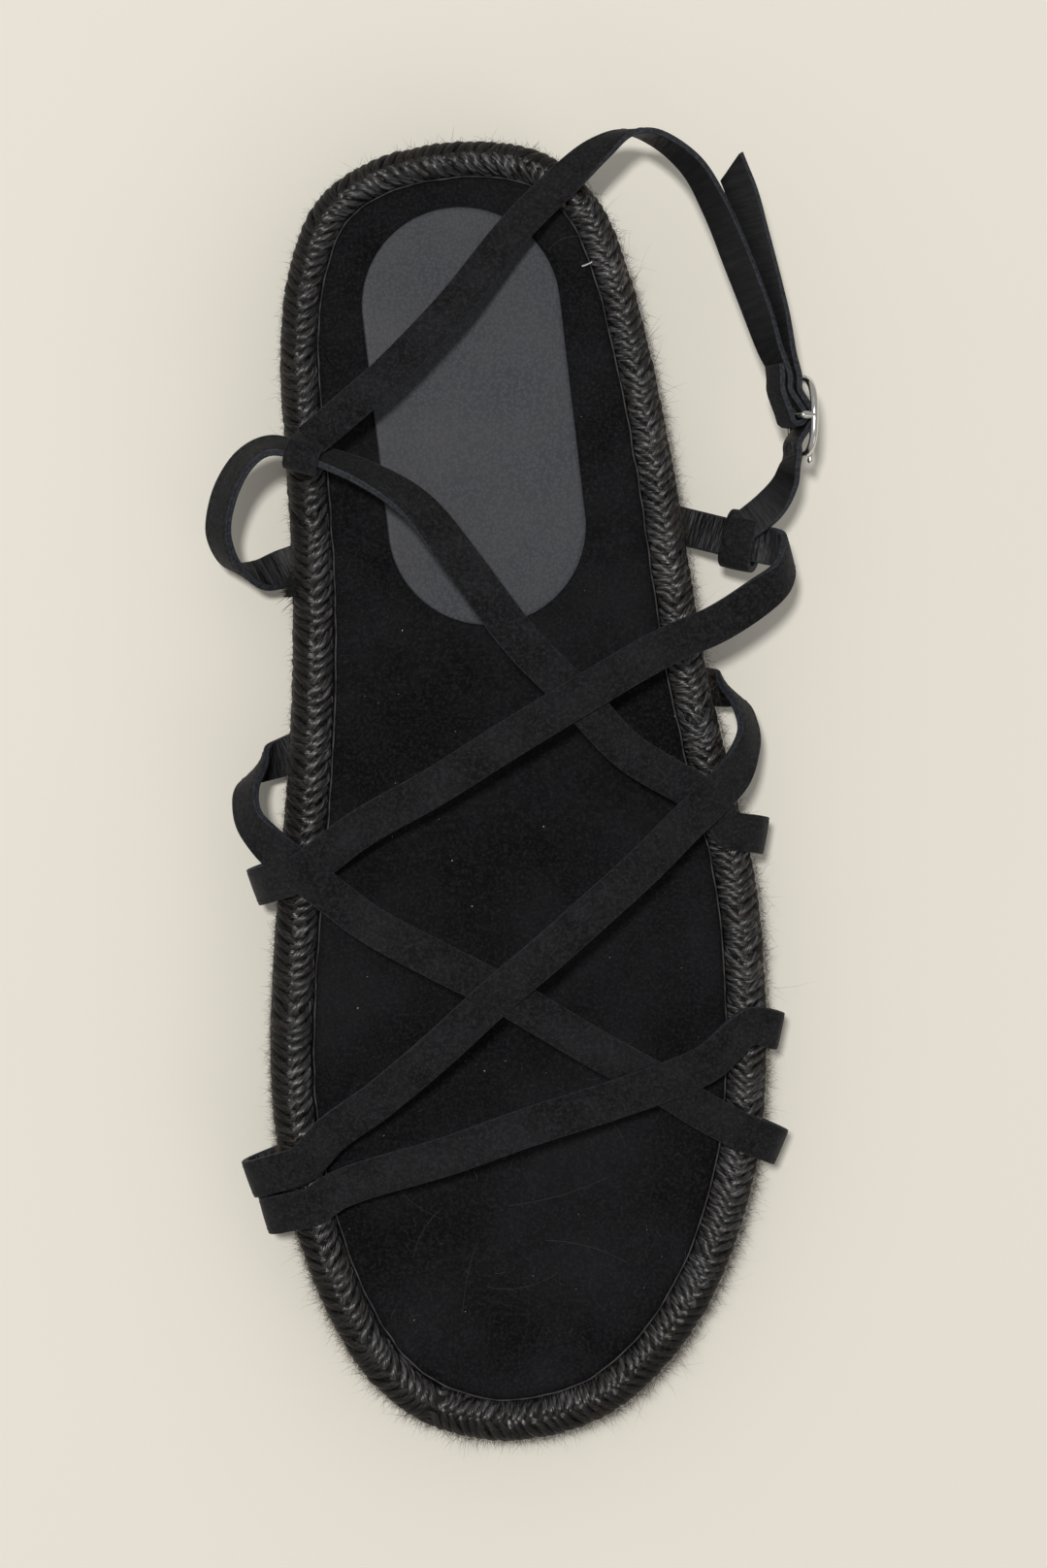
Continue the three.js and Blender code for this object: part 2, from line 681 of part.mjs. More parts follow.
const slit = new THREE.BoxGeometry(slitLength, prongDiameter + 2 * clearance, 4 * layerPitch);
slit.applyMatrix4(new THREE.Matrix4().makeBasis(
  buckle.run, buckle.width, vector().crossVectors(buckle.run, buckle.width),
).setPosition(inBuckle(barWrap + slitLead - slitLength / 2, -barDrop)));
const ankleStrap = cutFrom(joined([
  turnedEnd(knot, ankleWidth, ankleThickness),
  ribbon(mainFrames, ankleWidth, ankleThickness),
  ribbon(wrapFrames, ankleWidth, ankleThickness),
]), [toSolid(merged(slit))]);

// Holed strap: looped round strap d, through the buckle, then outside the ankle strap to its point
const anchor = hostFrame(routes.d, 11);
const anchorFace = anchor.face.clone().multiplyScalar(Math.sign(anchor.face.z));
const anchorWidth = anchor.width.clone().multiplyScalar(Math.sign(anchor.width.y));
const holedRows = [
  { along: 0.279, across: 0.500, up: -0.12, swing: 350, roll: 25 },
  { along: 0.262, across: 0.529, up: -0.06, swing: 355, roll: 55 },
];
const holedStart = {
  place: anchor.place.clone()
    .addScaledVector(anchorFace, turnRadius)
    .addScaledVector(anchorWidth, strapWidth / 4),
  width: anchor.run.clone(),
};
// The tail lies outside the ankle strap, in layers of strap, and stands ever higher than its upper edge.
// shift is along the strap's width, in shares of it, and tilt lays the width flatter.
const tailRows = [
  { share: 0.12, out: 1.3, shift: 0.10, tilt: 0 },
  { share: 0.30, out: 1.6, shift: 0.26, tilt: 0.05 },
  { share: 0.50, out: 1.9, shift: 0.38, tilt: 0.1 },
  { share: 0.68, out: 2.1, shift: 0.50, tilt: 0.2 },
  { share: 0.84, out: 2.3, shift: 0.66, tilt: 0.3 },
  { share: 1, out: 2.4, shift: 0.82, tilt: 0.35 },
];
function tailKey({ share, out, shift, tilt }) {
  const fromBuckle = tailLength * share + endReach;
  const index = Math.round((mainFrames.length - 1) - fromBuckle / strapStep);
  const frame = mainFrames[index];
  const upperEdge = frame.width.clone().multiplyScalar(Math.sign(frame.width.z));
  const outward = frame.face.clone().multiplyScalar(Math.sign(frame.face.x));
  return {
    place: frame.place.clone()
      .addScaledVector(outward, out * layerPitch)
      .addScaledVector(upperEdge, shift * ankleWidth),
    width: upperEdge.clone().addScaledVector(upward, -tilt).normalize(),
  };
}
const holedFrames = ribbonFrames([
  holedStart,
  ...holedRows.map(rowKey),
  buckleKey(endReach + 2, tailInside - 0.4),
  buckleKey(endReach, tailInside),
  buckleKey(ringLeave, tailInside),
  buckleKey(0, tailOverBar),
  buckleKey(-ringLeave, tailInside),
  buckleKey(-endReach, tailInside),
  ...tailRows.map(tailKey),
], fineStep);
const nearestFrame = (place) => holedFrames.reduce((best, frame) => (
  frame.place.distanceTo(place) < best.place.distanceTo(place) ? frame : best));
const barIndex = holedFrames.indexOf(nearestFrame(inBuckle(0.5, tailOverBar)));
function holeCutter(number) {
  const frame = holedFrames[barIndex + Math.round((number * holePitch) / fineStep)];
  const drill = ankleThickness;
  return wireTube([
    frame.place.clone().addScaledVector(frame.face, -drill),
    frame.place.clone().addScaledVector(frame.face, drill),
  ], holeDiameter);
}

// The tail's point is at its upper edge: the lower corner is cut back at a slant
function pointCutter() {
  const tip = holedFrames[holedFrames.length - 1];
  const upperEdge = tip.width.clone().multiplyScalar(Math.sign(tip.width.z));
  const size = 4 * ankleWidth;
  const block = new THREE.BoxGeometry(size, size, size);
  block.translate(0, -size / 2, 0);
  block.rotateZ(Math.atan2(ankleWidth, tailPoint));
  block.translate(-tailPoint / 2, 0, 0);
  block.applyMatrix4(new THREE.Matrix4().makeBasis(
    tip.run, upperEdge, vector().crossVectors(tip.run, upperEdge),
  ).setPosition(tip.place));
  return toSolid(merged(block));
}
const holedStrap = cutFrom(joined([
  turnedEnd(anchor, ankleWidth, ankleThickness),
  ribbon(holedFrames, ankleWidth, ankleThickness),
]), [
  ...Array.from({ length: holeCount }, (_, number) => holeCutter(number - holesTowardKnot)),
  prongRoom,
  pointCutter(),
]);

// Finishes
const finish = (color, roughness, metalness = 0) => new THREE.MeshStandardMaterial({ color, roughness, metalness });
const pieces = {
  outsole: [outsoleShape, finish(0x1b1a1a, 0.8)],
  jute_sole: [toGeometry(ropeSole), finish(0x26242a, 0.9)],
  rope_edging: [edgingShape, finish(0x26242a, 0.85)],
  insole: [insoleShape, finish(0x161618, 0.95)],
  heel_pad: [padShape, finish(0x46474d, 0.6)],
  upper_straps: [toGeometry(upper), finish(0x19191c, 0.95)],
  ankle_strap: [toGeometry(ankleStrap), finish(0x19191c, 0.95)],
  holed_strap: [toGeometry(holedStrap), finish(0x19191c, 0.95)],
  buckle_frame: [toGeometry(buckleFrame), finish(0xc8c8cc, 0.2, 1)],
  buckle_prong: [toGeometry(prong), finish(0xc8c8cc, 0.2, 1)],
};
const sandal = new THREE.Group();
for (const [name, [geometry, material]] of Object.entries(pieces)) {
  const mesh = new THREE.Mesh(geometry, material);
  mesh.name = name;
  sandal.add(mesh);
}

export default sandal;
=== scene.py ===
# %% [markdown]
# # A flat sandal with a braided rope sole
# The solids give every place and size. Here each of them gets a finely shaped piece in its stead: braided
# yarn for the rope, suede bands with cut edges for the straps, a leather pad and bright wire for the buckle.
# Everything is in millimetres while it is worked out, and becomes metres when a mesh is made.

# %% Load the solids
import math
import random
import bmesh
import bpy
import numpy as np
from mathutils import Matrix, Vector


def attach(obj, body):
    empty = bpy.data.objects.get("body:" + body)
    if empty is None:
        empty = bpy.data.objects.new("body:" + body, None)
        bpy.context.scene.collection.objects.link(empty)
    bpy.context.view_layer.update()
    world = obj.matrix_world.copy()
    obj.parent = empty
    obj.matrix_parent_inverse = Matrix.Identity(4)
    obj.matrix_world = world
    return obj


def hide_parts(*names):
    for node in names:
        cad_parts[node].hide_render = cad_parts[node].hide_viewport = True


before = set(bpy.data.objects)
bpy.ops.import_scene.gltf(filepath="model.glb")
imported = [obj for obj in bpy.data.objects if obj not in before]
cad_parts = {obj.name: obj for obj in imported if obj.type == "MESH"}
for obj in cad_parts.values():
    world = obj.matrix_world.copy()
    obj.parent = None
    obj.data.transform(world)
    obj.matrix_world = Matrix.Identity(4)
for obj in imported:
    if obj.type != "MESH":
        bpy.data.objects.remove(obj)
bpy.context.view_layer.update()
MM = 0.001
chance = random.Random(7)
print("solids:", sorted(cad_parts))

# %% [markdown]
# ## Camera
# The shoe was seen from straight above, with the middle of the view a little to its inner side. A camera on
# that spot that aims at the shoe keeps the angle. Its long side holds the sole and a margin.

# %% Place the camera
picture_wide, picture_high = 1079, 1616
eye = Vector((-72.8, 5.1, 900)) * MM
aim = Vector((1.0, 1.5, 20)) * MM
view_length = 322 * MM
lens = bpy.data.cameras.new("eye")
lens.sensor_width = 36
lens.lens = lens.sensor_width * (eye - aim).length / view_length
lens.clip_start, lens.clip_end = 0.05, 20
camera = bpy.data.objects.new("eye", lens)
bpy.context.scene.collection.objects.link(camera)
back = (eye - aim).normalized()
side = Vector((0, 1, 0)).cross(back).normalized()
upright = back.cross(side)
camera.matrix_world = Matrix.Translation(eye) @ Matrix((side, upright, back)).transposed().to_4x4()
bpy.context.scene.camera = camera
print("view is", round(view_length * picture_wide / picture_high / MM), "mm wide")

# %% [markdown]
# ## Light and floor
# A small light hangs high above the shoe, a little to the upper left, so shadows are crisp and fall to the lower
# right. A pale sky and a wide weak lamp lighten them. The floor is plain warm paper.

# %% Hang the light
world = bpy.data.worlds.new("sky")
bpy.context.scene.world = world
world.use_nodes = True
world.node_tree.nodes["Background"].inputs["Color"].default_value = (1.0, 0.985, 0.96, 1)
world.node_tree.nodes["Background"].inputs["Strength"].default_value = 0.38
bpy.context.scene.view_settings.view_transform = "Standard"


def hang(name, place, target, size, power):
    lamp = bpy.data.lights.new(name, "AREA")
    lamp.shape, lamp.size, lamp.energy = "DISK", size, power
    lamp.color = (1.0, 0.98, 0.95)
    holder = bpy.data.objects.new(name, lamp)
    holder.location = place
    holder.rotation_euler = (Vector(target) - Vector(place)).to_track_quat("-Z", "Y").to_euler()
    bpy.context.scene.collection.objects.link(holder)


hang("key", (-0.26, 0.17, 1.75), (0, 0, 0), 0.14, 17.6)
hang("fill", (1.2, -1.5, 1.6), (0, 0, 0), 1.2, 2.5)

# %% [markdown]
# ## Finishes
# A finish is a small tree of nodes. Most need the same few steps, so three helpers come first: one that starts
# a finish, one that adds a node and links it, and one that turns a grey pattern into bumps.

# %% Helpers for finishes
def start_finish(name, roughness, **sockets):
    finish = bpy.data.materials.new(name)
    finish.use_nodes = True
    shader = finish.node_tree.nodes["Principled BSDF"]
    shader.inputs["Roughness"].default_value = roughness
    for socket, value in sockets.items():
        shader.inputs[socket.replace("_", " ")].default_value = value
    return finish


def add(finish, kind, sockets=None, **settings):
    node = finish.node_tree.nodes.new("ShaderNode" + kind)
    for name, value in settings.items():
        setattr(node, name, value)
    for name, value in (sockets or {}).items():
        socket = node.inputs[name]
        if isinstance(value, bpy.types.NodeSocket):
            finish.node_tree.links.new(value, socket)
        else:
            socket.default_value = value
    return node


def into(finish, socket, source):
    shader = finish.node_tree.nodes["Principled BSDF"]
    finish.node_tree.links.new(source, shader.inputs[socket])


def grain(finish, scale, detail=2.0, stretch=None, source="Object", roughness=0.55):
    place = add(finish, "TexCoord").outputs[source]
    if stretch:
        place = add(finish, "Mapping", {"Vector": place, "Scale": stretch}).outputs["Vector"]
    return add(finish, "TexNoise", {"Vector": place, "Scale": scale, "Detail": detail,
                                    "Roughness": roughness}).outputs["Fac"]


def spread(finish, pattern, low, high, from_low=0.35, from_high=0.65):
    return add(finish, "MapRange", {"Value": pattern, "From Min": from_low, "From Max": from_high,
                                    "To Min": low, "To Max": high}).outputs["Result"]


def blend(finish, share, first, second):
    mixer = add(finish, "Mix", {"Factor": share}, data_type="RGBA")
    for socket, value in ((mixer.inputs[6], first), (mixer.inputs[7], second)):
        if isinstance(value, bpy.types.NodeSocket):
            finish.node_tree.links.new(value, socket)
        else:
            socket.default_value = (*value, 1)
    return mixer.outputs[2]


def bumps(finish, pattern, height, strength=1.0, under=None):
    sockets = {"Height": pattern, "Distance": height * MM, "Strength": strength}
    if under:
        sockets["Normal"] = under
    return add(finish, "Bump", sockets).outputs["Normal"]


# %% [markdown]
# ### Suede
# Suede is brushed skin. Its short nap takes the light unevenly: soft paler patches where it was stroked, fine
# speckle everywhere. A noise of 11 mm paints the patches on the straps, and one of 26 mm those on the footbed,
# which is more worn. A noise of 1.25 mm paints the mottle and one of two thirds of a millimetre the speckle.
# Sheen lights the nap at low angles.

# %% Suede
def suede(name, dark, pale, patch_size, sheen, mottled):
    finish = start_finish(name, 0.92, Sheen_Weight=sheen, Sheen_Roughness=0.45, Specular_IOR_Level=0.12)
    patches = spread(finish, grain(finish, 1 / (patch_size * MM), 4, roughness=0.6), 0, 1, 0.38, 0.68)
    speckle = grain(finish, 1500, 3, roughness=0.75)
    mottle = spread(finish, grain(finish, 800, 3, roughness=0.7), 0, mottled, 0.46, 0.68)
    colour = blend(finish, mottle, blend(finish, patches, dark, pale), tuple(1.7 * part for part in pale))
    dust = spread(finish, speckle, 0, 0.8, 0.47, 0.72)
    into(finish, "Base Color", blend(finish, dust, colour, tuple(2.6 * part for part in pale)))
    into(finish, "Roughness", spread(finish, patches, 0.95, 0.8, 0, 1))
    soft = bumps(finish, patches, 0.10, 0.35)
    into(finish, "Normal", bumps(finish, speckle, 0.16, 0.8, soft))
    return finish


strap_suede = suede("strap_suede", (0.0050, 0.0050, 0.0057), (0.0108, 0.0109, 0.0124), 11, 0.05, 0.6)
footbed_suede = suede("footbed_suede", (0.0020, 0.0020, 0.0024), (0.0072, 0.0073, 0.0086), 26, 0.02, 0.35)

# %% [markdown]
# ### Lining, cut edge and pad
# The back of each strap is lined with thin smooth leather that creases across when it bends, most of all on the upper
# straps. The crests of the creases are painted paler: painted highlights, strong on the upper straps. The cut edge
# shows raw, paler and bluish. The pad is a smooth grey leather with a very fine even grain.

# %% Lining, cut edge and pad
def lining_finish(name, crest, depth):
    finish = start_finish(name, 0.55, Specular_IOR_Level=0.35)
    creases = grain(finish, 1.0, 3, (0.7, 0.1, 1), "UV")
    # The crest colour is a painted highlight on the crease crests.
    into(finish, "Base Color", blend(finish, spread(finish, creases, 0, 1, 0.42, 0.72), (0.0050, 0.0050, 0.0056),
                                     crest))
    into(finish, "Normal", bumps(finish, creases, depth, 1.0, bumps(finish, grain(finish, 2600), 0.05, 0.5)))
    return finish


# The second colour of each lining is its painted crease highlight, much brighter on the creased lining.
lining = lining_finish("strap_lining", (0.0110, 0.0112, 0.0125), 0.5)
creased_lining = lining_finish("creased_lining", (0.034, 0.036, 0.042), 1.3)

cut_edge = start_finish("strap_cut_edge", 0.75, Specular_IOR_Level=0.3)
raw = grain(cut_edge, 1500, 3)
into(cut_edge, "Base Color", blend(cut_edge, spread(cut_edge, raw, 0, 1), (0.010, 0.011, 0.014),
                                   (0.034, 0.038, 0.048)))
into(cut_edge, "Normal", bumps(cut_edge, raw, 0.12, 0.7))

pad_leather = start_finish("pad_leather", 0.6, Specular_IOR_Level=0.25)
cells = add(pad_leather, "TexVoronoi", {"Vector": add(pad_leather, "TexCoord").outputs["Object"],
                                        "Scale": 1500, "Randomness": 0.9}, feature="F1").outputs["Distance"]
cloud = grain(pad_leather, 45, 4)
tone = blend(pad_leather, spread(pad_leather, cloud, 0, 1), (0.042, 0.0442, 0.0535), (0.058, 0.0610, 0.0720))
into(pad_leather, "Base Color", blend(pad_leather, spread(pad_leather, cells, 0.0, 0.8, 0.2, 0.7), tone,
                                      (0.028, 0.0300, 0.0370)))
into(pad_leather, "Roughness", spread(pad_leather, cloud, 0.5, 0.62))
into(pad_leather, "Normal", bumps(pad_leather, cells, 0.05, 0.5, bumps(pad_leather, cloud, 0.2, 0.25)))

# %% [markdown]
# ### Yarn
# A strand of the braid is a bundle of dyed jute fibres. The fibres run along the strand with a slow twist. The tube's
# own map gives the length along the strand and the way round it, so a noise that is drawn out along the strand makes
# the fibres, in colour as in bumps. The paler fibres are painted highlights: glints drawn into the colour in thin
# lines.

# %% Yarn, fuzz and thread
def yarn(name, dark, pale, roughness, specular, lines):
    finish = start_finish(name, roughness, Specular_IOR_Level=specular)
    parts = add(finish, "SeparateXYZ", {"Vector": add(finish, "TexCoord").outputs["UV"]})
    along, around = parts.outputs["X"], parts.outputs["Y"]
    slow = add(finish, "Math", {0: along, 1: 0.22}, operation="MULTIPLY").outputs[0]
    twist = add(finish, "Math", {0: along, 1: 0.75}, operation="MULTIPLY").outputs[0]
    quick = add(finish, "Math", {0: around, 1: lines, 2: twist}, operation="MULTIPLY_ADD").outputs[0]
    drawn = add(finish, "CombineXYZ", {"X": slow, "Y": quick}).outputs[0]
    fibres = add(finish, "TexNoise", {"Vector": drawn, "Scale": 1, "Detail": 3, "Roughness": 0.6}).outputs["Fac"]
    clumps = grain(finish, 140, 3)
    fibre_glint = add(finish, "Math", {0: spread(finish, fibres, 0, 1, 0.48, 0.70), 1: spread(finish, clumps, 0.25, 1)},
                operation="MULTIPLY").outputs[0]
    # The pale colour is a painted highlight: glinting fibres drawn into the colour.
    into(finish, "Base Color", blend(finish, fibre_glint, dark, pale))
    into(finish, "Normal", bumps(finish, fibres, 0.4, 1.0))
    return finish


def flecked(name, roughness, scale, detail, first, second, limits=None, **sockets):
    """A finish of two colours that one noise mixes, made crisper between limits."""
    finish = start_finish(name, roughness, **sockets)
    share = grain(finish, scale, detail)
    if limits:
        share = spread(finish, share, 0, 1, *limits)
    into(finish, "Base Color", blend(finish, share, first, second))
    return finish


# Two copies of one jute yarn: the top yarn is the lit copy with bright painted highlights, the side yarn a darker
# copy with faint ones, painted shade for the sides and the dull column.
lit_top_yarn = yarn("lit_top_yarn", (0.0030, 0.0028, 0.0032), (0.165, 0.160, 0.170), 0.33, 0.7, 8)
shaded_side_yarn = yarn("shaded_side_yarn", (0.0040, 0.0036, 0.0036), (0.036, 0.031, 0.029), 0.55, 0.3, 8)
fuzz_finish = flecked("rope_fuzz", 0.8, 120, 2, (0.012, 0.009, 0.008), (0.110, 0.070, 0.045), (0.45, 0.7))
tan_fuzz = flecked("sole_fuzz", 0.85, 120, 2, (0.018, 0.013, 0.010), (0.150, 0.098, 0.062), (0.4, 0.65))
white_lint = flecked("white_lint", 0.9, 900, 2, (0.55, 0.54, 0.52), (0.8, 0.79, 0.76))
grey_lint = flecked("grey_lint", 0.9, 400, 2, (0.022, 0.022, 0.022), (0.10, 0.098, 0.094))
seam_finish = flecked("footbed_seam", 0.7, 300, 3, (0.006, 0.006, 0.007), (0.045, 0.046, 0.050), (0.4, 0.6))
thread_finish = flecked("strap_thread", 0.8, 2000, 2, (0.005, 0.005, 0.006), (0.014, 0.0145, 0.016),
                        Specular_IOR_Level=0.2)
core_finish = flecked("rope_core", 0.95, 900, 3, (0.002, 0.002, 0.002), (0.007, 0.0065, 0.0065))

# %% [markdown]
# ### Wire and rubber
# The buckle is plated wire, bright with faint rubbing marks. The rubber under the sole is matt, with a close
# tread of small ribs that only its underside shows.

# %% Wire and rubber
wire_finish = start_finish("bright_wire", 0.16, Metallic=1.0)
rub = grain(wire_finish, 900, 3, (1, 0.25, 1))
into(wire_finish, "Base Color", blend(wire_finish, rub, (0.60, 0.59, 0.57), (0.82, 0.81, 0.79)))
into(wire_finish, "Roughness", spread(wire_finish, rub, 0.10, 0.26))

rubber = start_finish("sole_rubber", 0.8, Specular_IOR_Level=0.4)
spot = add(rubber, "TexCoord").outputs["Object"]
ribs = add(rubber, "TexWave", {"Vector": spot, "Scale": 130, "Distortion": 2.2, "Detail": 0, "Detail Scale": 18},
           bands_direction="Y").outputs["Fac"]
dusty = grain(rubber, 240, 4)
into(rubber, "Base Color", blend(rubber, dusty, (0.012, 0.012, 0.012), (0.026, 0.025, 0.024)))
into(rubber, "Normal", bumps(rubber, ribs, 0.5, 0.8, bumps(rubber, grain(rubber, 1400), 0.06, 0.5)))

floor_finish = flecked("paper", 0.9, 6, 3, (0.825, 0.795, 0.715), (0.85, 0.82, 0.74), Specular_IOR_Level=0.2)
into(floor_finish, "Normal", bumps(floor_finish, grain(floor_finish, 700, 3), 0.05, 0.4))
print(len(bpy.data.materials), "finishes")

# %% [markdown]
# ## One way to make every tube
# A strap, a yarn, a wire and a hair are all a section carried along a path. A flat grid of points is rolled
# into such a tube: each point goes to its place, and edges that meet are merged. One grid holds many tubes.
# The faces between one tube and the next are deleted. A map of length and way round is kept on each tube.

# %% Roll a grid into tubes
def roll(name, tubes, finishes, close=True, band_of=None, fill=False, maps=None):
    """tubes: arrays of rings, each (rings, points, 3) in mm; the section is closed when close is true.
    band_of: which finish a face takes, by its column or by its ring."""
    if close:
        tubes = [np.concatenate([rings, rings[:, :1]], axis=1) for rings in tubes]
    points = tubes[0].shape[1]
    rings = np.concatenate(tubes) * MM
    starts = np.cumsum([0] + [len(tube) for tube in tubes])
    if maps is None:
        maps = []
        for tube in tubes:
            steps = np.linalg.norm(np.diff(tube.mean(axis=1), axis=0), axis=1)
            length = np.concatenate([[0], np.cumsum(steps)])
            way = np.arange(points) / (points - 1)
            maps.append(np.stack(np.meshgrid(length, way, indexing="ij"), axis=-1))
    chart = np.concatenate(maps)
    bands = np.broadcast_to(0 if band_of is None else np.asarray(band_of), (len(rings), points - 1))
    piece = bmesh.new()
    bmesh.ops.create_grid(piece, x_segments=points - 1, y_segments=len(rings) - 1, size=1)
    piece.verts.ensure_lookup_table()
    for index, vertex in enumerate(piece.verts):
        vertex.co = rings[index // points, index % points]
    layer = piece.loops.layers.uv.new("UVMap")
    between = set(starts[1:-1] - 1)
    stray = []
    for face in piece.faces:
        ring = min(vertex.index // points for vertex in face.verts)
        column = min(vertex.index % points for vertex in face.verts)
        if ring in between:
            stray.append(face)
            continue
        face.smooth = True
        face.material_index = int(bands[ring, column])
        for loop in face.loops:
            loop[layer].uv = chart[loop.vert.index // points, loop.vert.index % points]
    bmesh.ops.delete(piece, geom=stray, context="FACES_ONLY")
    bmesh.ops.remove_doubles(piece, verts=piece.verts, dist=1e-7)
    if fill:
        bmesh.ops.holes_fill(piece, edges=[edge for edge in piece.edges if edge.is_boundary], sides=0)
    bmesh.ops.recalc_face_normals(piece, faces=piece.faces)
    return finish_piece(name, piece, finishes)


def finish_piece(name, piece, finishes):
    shape = bpy.data.meshes.new(name)
    piece.to_mesh(shape)
    piece.free()
    for finish in finishes:
        shape.materials.append(finish)
    thing = bpy.data.objects.new(name, shape)
    bpy.context.scene.collection.objects.link(thing)
    print(f"{name}: {len(shape.polygons)} faces")
    return thing


def dress(piece, *nodes, slot=None):
    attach(piece, "root")
    if nodes:
        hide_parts(*nodes)
    return piece


# %% [markdown]
# ## Smooth curves
# The solids follow curves that pass through all their points, spaced by the square root of the chord. The same
# curve here puts each piece exactly on its solid.

# %% A curve through points
def curve_through(points, closed=False, spans=24):
    points = np.asarray(points, float)
    ends = ([points[-1:], points, points[:2]] if closed
            else [2 * points[:1] - points[1:2], points, 2 * points[-1:] - points[-2:-1]])
    padded = np.vstack(ends)
    share = np.linspace(0, 1, spans, endpoint=False)[:, None]
    parts = []
    for index in range(1, len(padded) - 2):
        a, b, c, d = padded[index - 1:index + 3]
        gaps = [max(math.sqrt(np.linalg.norm(q - p)), 1e-4) for p, q in ((a, b), (b, c), (c, d))]
        leave = ((b - a) / gaps[0] - (c - a) / (gaps[0] + gaps[1]) + (c - b) / gaps[1]) * gaps[1]
        arrive = ((c - b) / gaps[1] - (d - b) / (gaps[1] + gaps[2]) + (d - c) / gaps[2]) * gaps[1]
        parts.append((2 * share**3 - 3 * share**2 + 1) * b + (share**3 - 2 * share**2 + share) * leave
                     + (3 * share**2 - 2 * share**3) * c + (share**3 - share**2) * arrive)
    return np.vstack([*parts, padded[-2][None]])


def lengths_of(points):
    return np.concatenate([[0], np.cumsum(np.linalg.norm(np.diff(points, axis=0), axis=1))])


def at_lengths(points, lengths):
    have = lengths_of(points)
    return np.stack([np.interp(lengths, have, points[:, axis]) for axis in range(points.shape[1])], axis=1)


def unit(vectors):
    return vectors / np.linalg.norm(vectors, axis=-1, keepdims=True)


def run_along(path):
    return unit(np.gradient(path, axis=0))


def run_round(loop):
    return unit(np.roll(loop, -1, axis=0) - np.roll(loop, 1, axis=0))


def come_round(values):
    """The same values, with the first again at the end."""
    return np.concatenate([values, values[:1]])


def full_turn(count):
    return np.linspace(0, 2 * np.pi, count, endpoint=False)


def circles(turns, first, second):
    """A circle of offsets at each place of a path, in the plane of two directions there."""
    return np.cos(turns)[None, :, None] * first[:, None] + np.sin(turns)[None, :, None] * second[:, None]


def ease(value, low, high):
    share = np.clip((value - low) / (high - low), 0, 1)
    return share * share * (3 - 2 * share)


# %% [markdown]
# ## The sole's outline and heights
# Rows of the outline are shares of the sole's length and of the ball's width, as in the solids. The heights
# along the sole come from the same few functions: toe spring, heel bevel and the crest of the rope.

# %% Outline and heights
sole_length, ball_width = 266, 103
heel_height, ball_height = 26.5, 24.7
toe_spring, spring_from = 4.5, 0.74
heel_bevel, bevel_to, arch_relief = 1.5, 0.05, 1.2
rubber_height, layer_gap = 3.5, 0.3
edging_height, edging_across, footbed_drop = 7.2, 9, 2.6
heel_tip, toe_tip = (0, -0.082), (1, -0.029)
outline_rows = [
    (0.006, -0.215, 0.030), (0.022, -0.325, 0.104), (0.050, -0.408, 0.168), (0.100, -0.458, 0.221),
    (0.160, -0.475, 0.262), (0.240, -0.464, 0.306), (0.320, -0.452, 0.341), (0.400, -0.450, 0.376),
    (0.480, -0.459, 0.424), (0.560, -0.475, 0.475), (0.640, -0.490, 0.497), (0.720, -0.494, 0.500),
    (0.780, -0.478, 0.485), (0.840, -0.443, 0.446), (0.900, -0.384, 0.378), (0.950, -0.305, 0.280),
    (0.984, -0.196, 0.160),
]


def plan(along, across):
    return np.array([across * ball_width, (0.5 - along) * sole_length, 0.0])


def along_of(y):
    return np.clip(0.5 - np.asarray(y) / sole_length, 0, 1)


outline = curve_through([plan(*heel_tip), *(plan(row[0], row[1]) for row in outline_rows),
                         plan(*toe_tip), *(plan(row[0], row[2]) for row in reversed(outline_rows))], True)
halfway = len(outline) // 2
sides = {"medial": outline[:halfway + 1], "lateral": outline[:halfway - 1:-1]}


def wall_point(along, side):
    half = sides[side]
    y = (0.5 - along) * sole_length
    return np.array([np.interp(-y, -half[:, 1], half[:, 0]), y, 0.0])


def spring(along):
    return toe_spring * np.maximum(0, (along - spring_from) / (1 - spring_from)) ** 2


def crest(along):
    return spring(along) + heel_height + (ball_height - heel_height) * ease(along, 0.2, 0.6)


def tread(along):
    heel = heel_bevel * np.maximum(0, 1 - along / bevel_to) ** 2
    return spring(along) + heel + arch_relief * ease(along, 0.31, 0.36) * (1 - ease(along, 0.41, 0.46))


def rope_base(along):
    return spring(along) + (rubber_height + layer_gap)


def edging_base(along):
    return crest(along) - edging_height


def rope_top(along):
    return edging_base(along) - layer_gap


def slot_height(along):
    return (rope_base(along) + rope_top(along)) / 2


def footbed_top(along):
    return crest(along) - footbed_drop


def edging_width(along):
    """A little narrower round the heel."""
    return edging_across * (0.84 + 0.16 * ease(along, 0.05, 0.5))


print("perimeter of the sole", round(lengths_of(outline)[-1]), "mm")

# %% [markdown]
# ## Rubber outsole, cores and footbed
# These are layers inside the outline: a loop of points, moved inwards and set to a height, again and again.
# The open loop at the top or bottom is closed by rows of points across the sole, so the curve from heel to toe
# stays even. A cushion-like rounding at the rim keeps the footbed soft.

# %% Layers inside the outline
half_steps = 150
stations = (1 - np.cos(np.pi * np.arange(half_steps + 1) / half_steps)) / 2
border = np.array([*(wall_point(s, "medial") for s in stations),
                   *(wall_point(s, "lateral") for s in stations[-2:0:-1])])
border[0], border[half_steps] = plan(*heel_tip), plan(*toe_tip)


def inward_of(loop):
    run = run_round(loop)
    return np.stack([-run[:, 1], run[:, 0], np.zeros(len(loop))], axis=1)


def ring_at(loop, inset, height):
    place = loop + inward_of(loop) * np.broadcast_to(inset(along_of(loop[:, 1])), len(loop))[:, None]
    place[:, 2] = height(along_of(place[:, 1]))
    return place


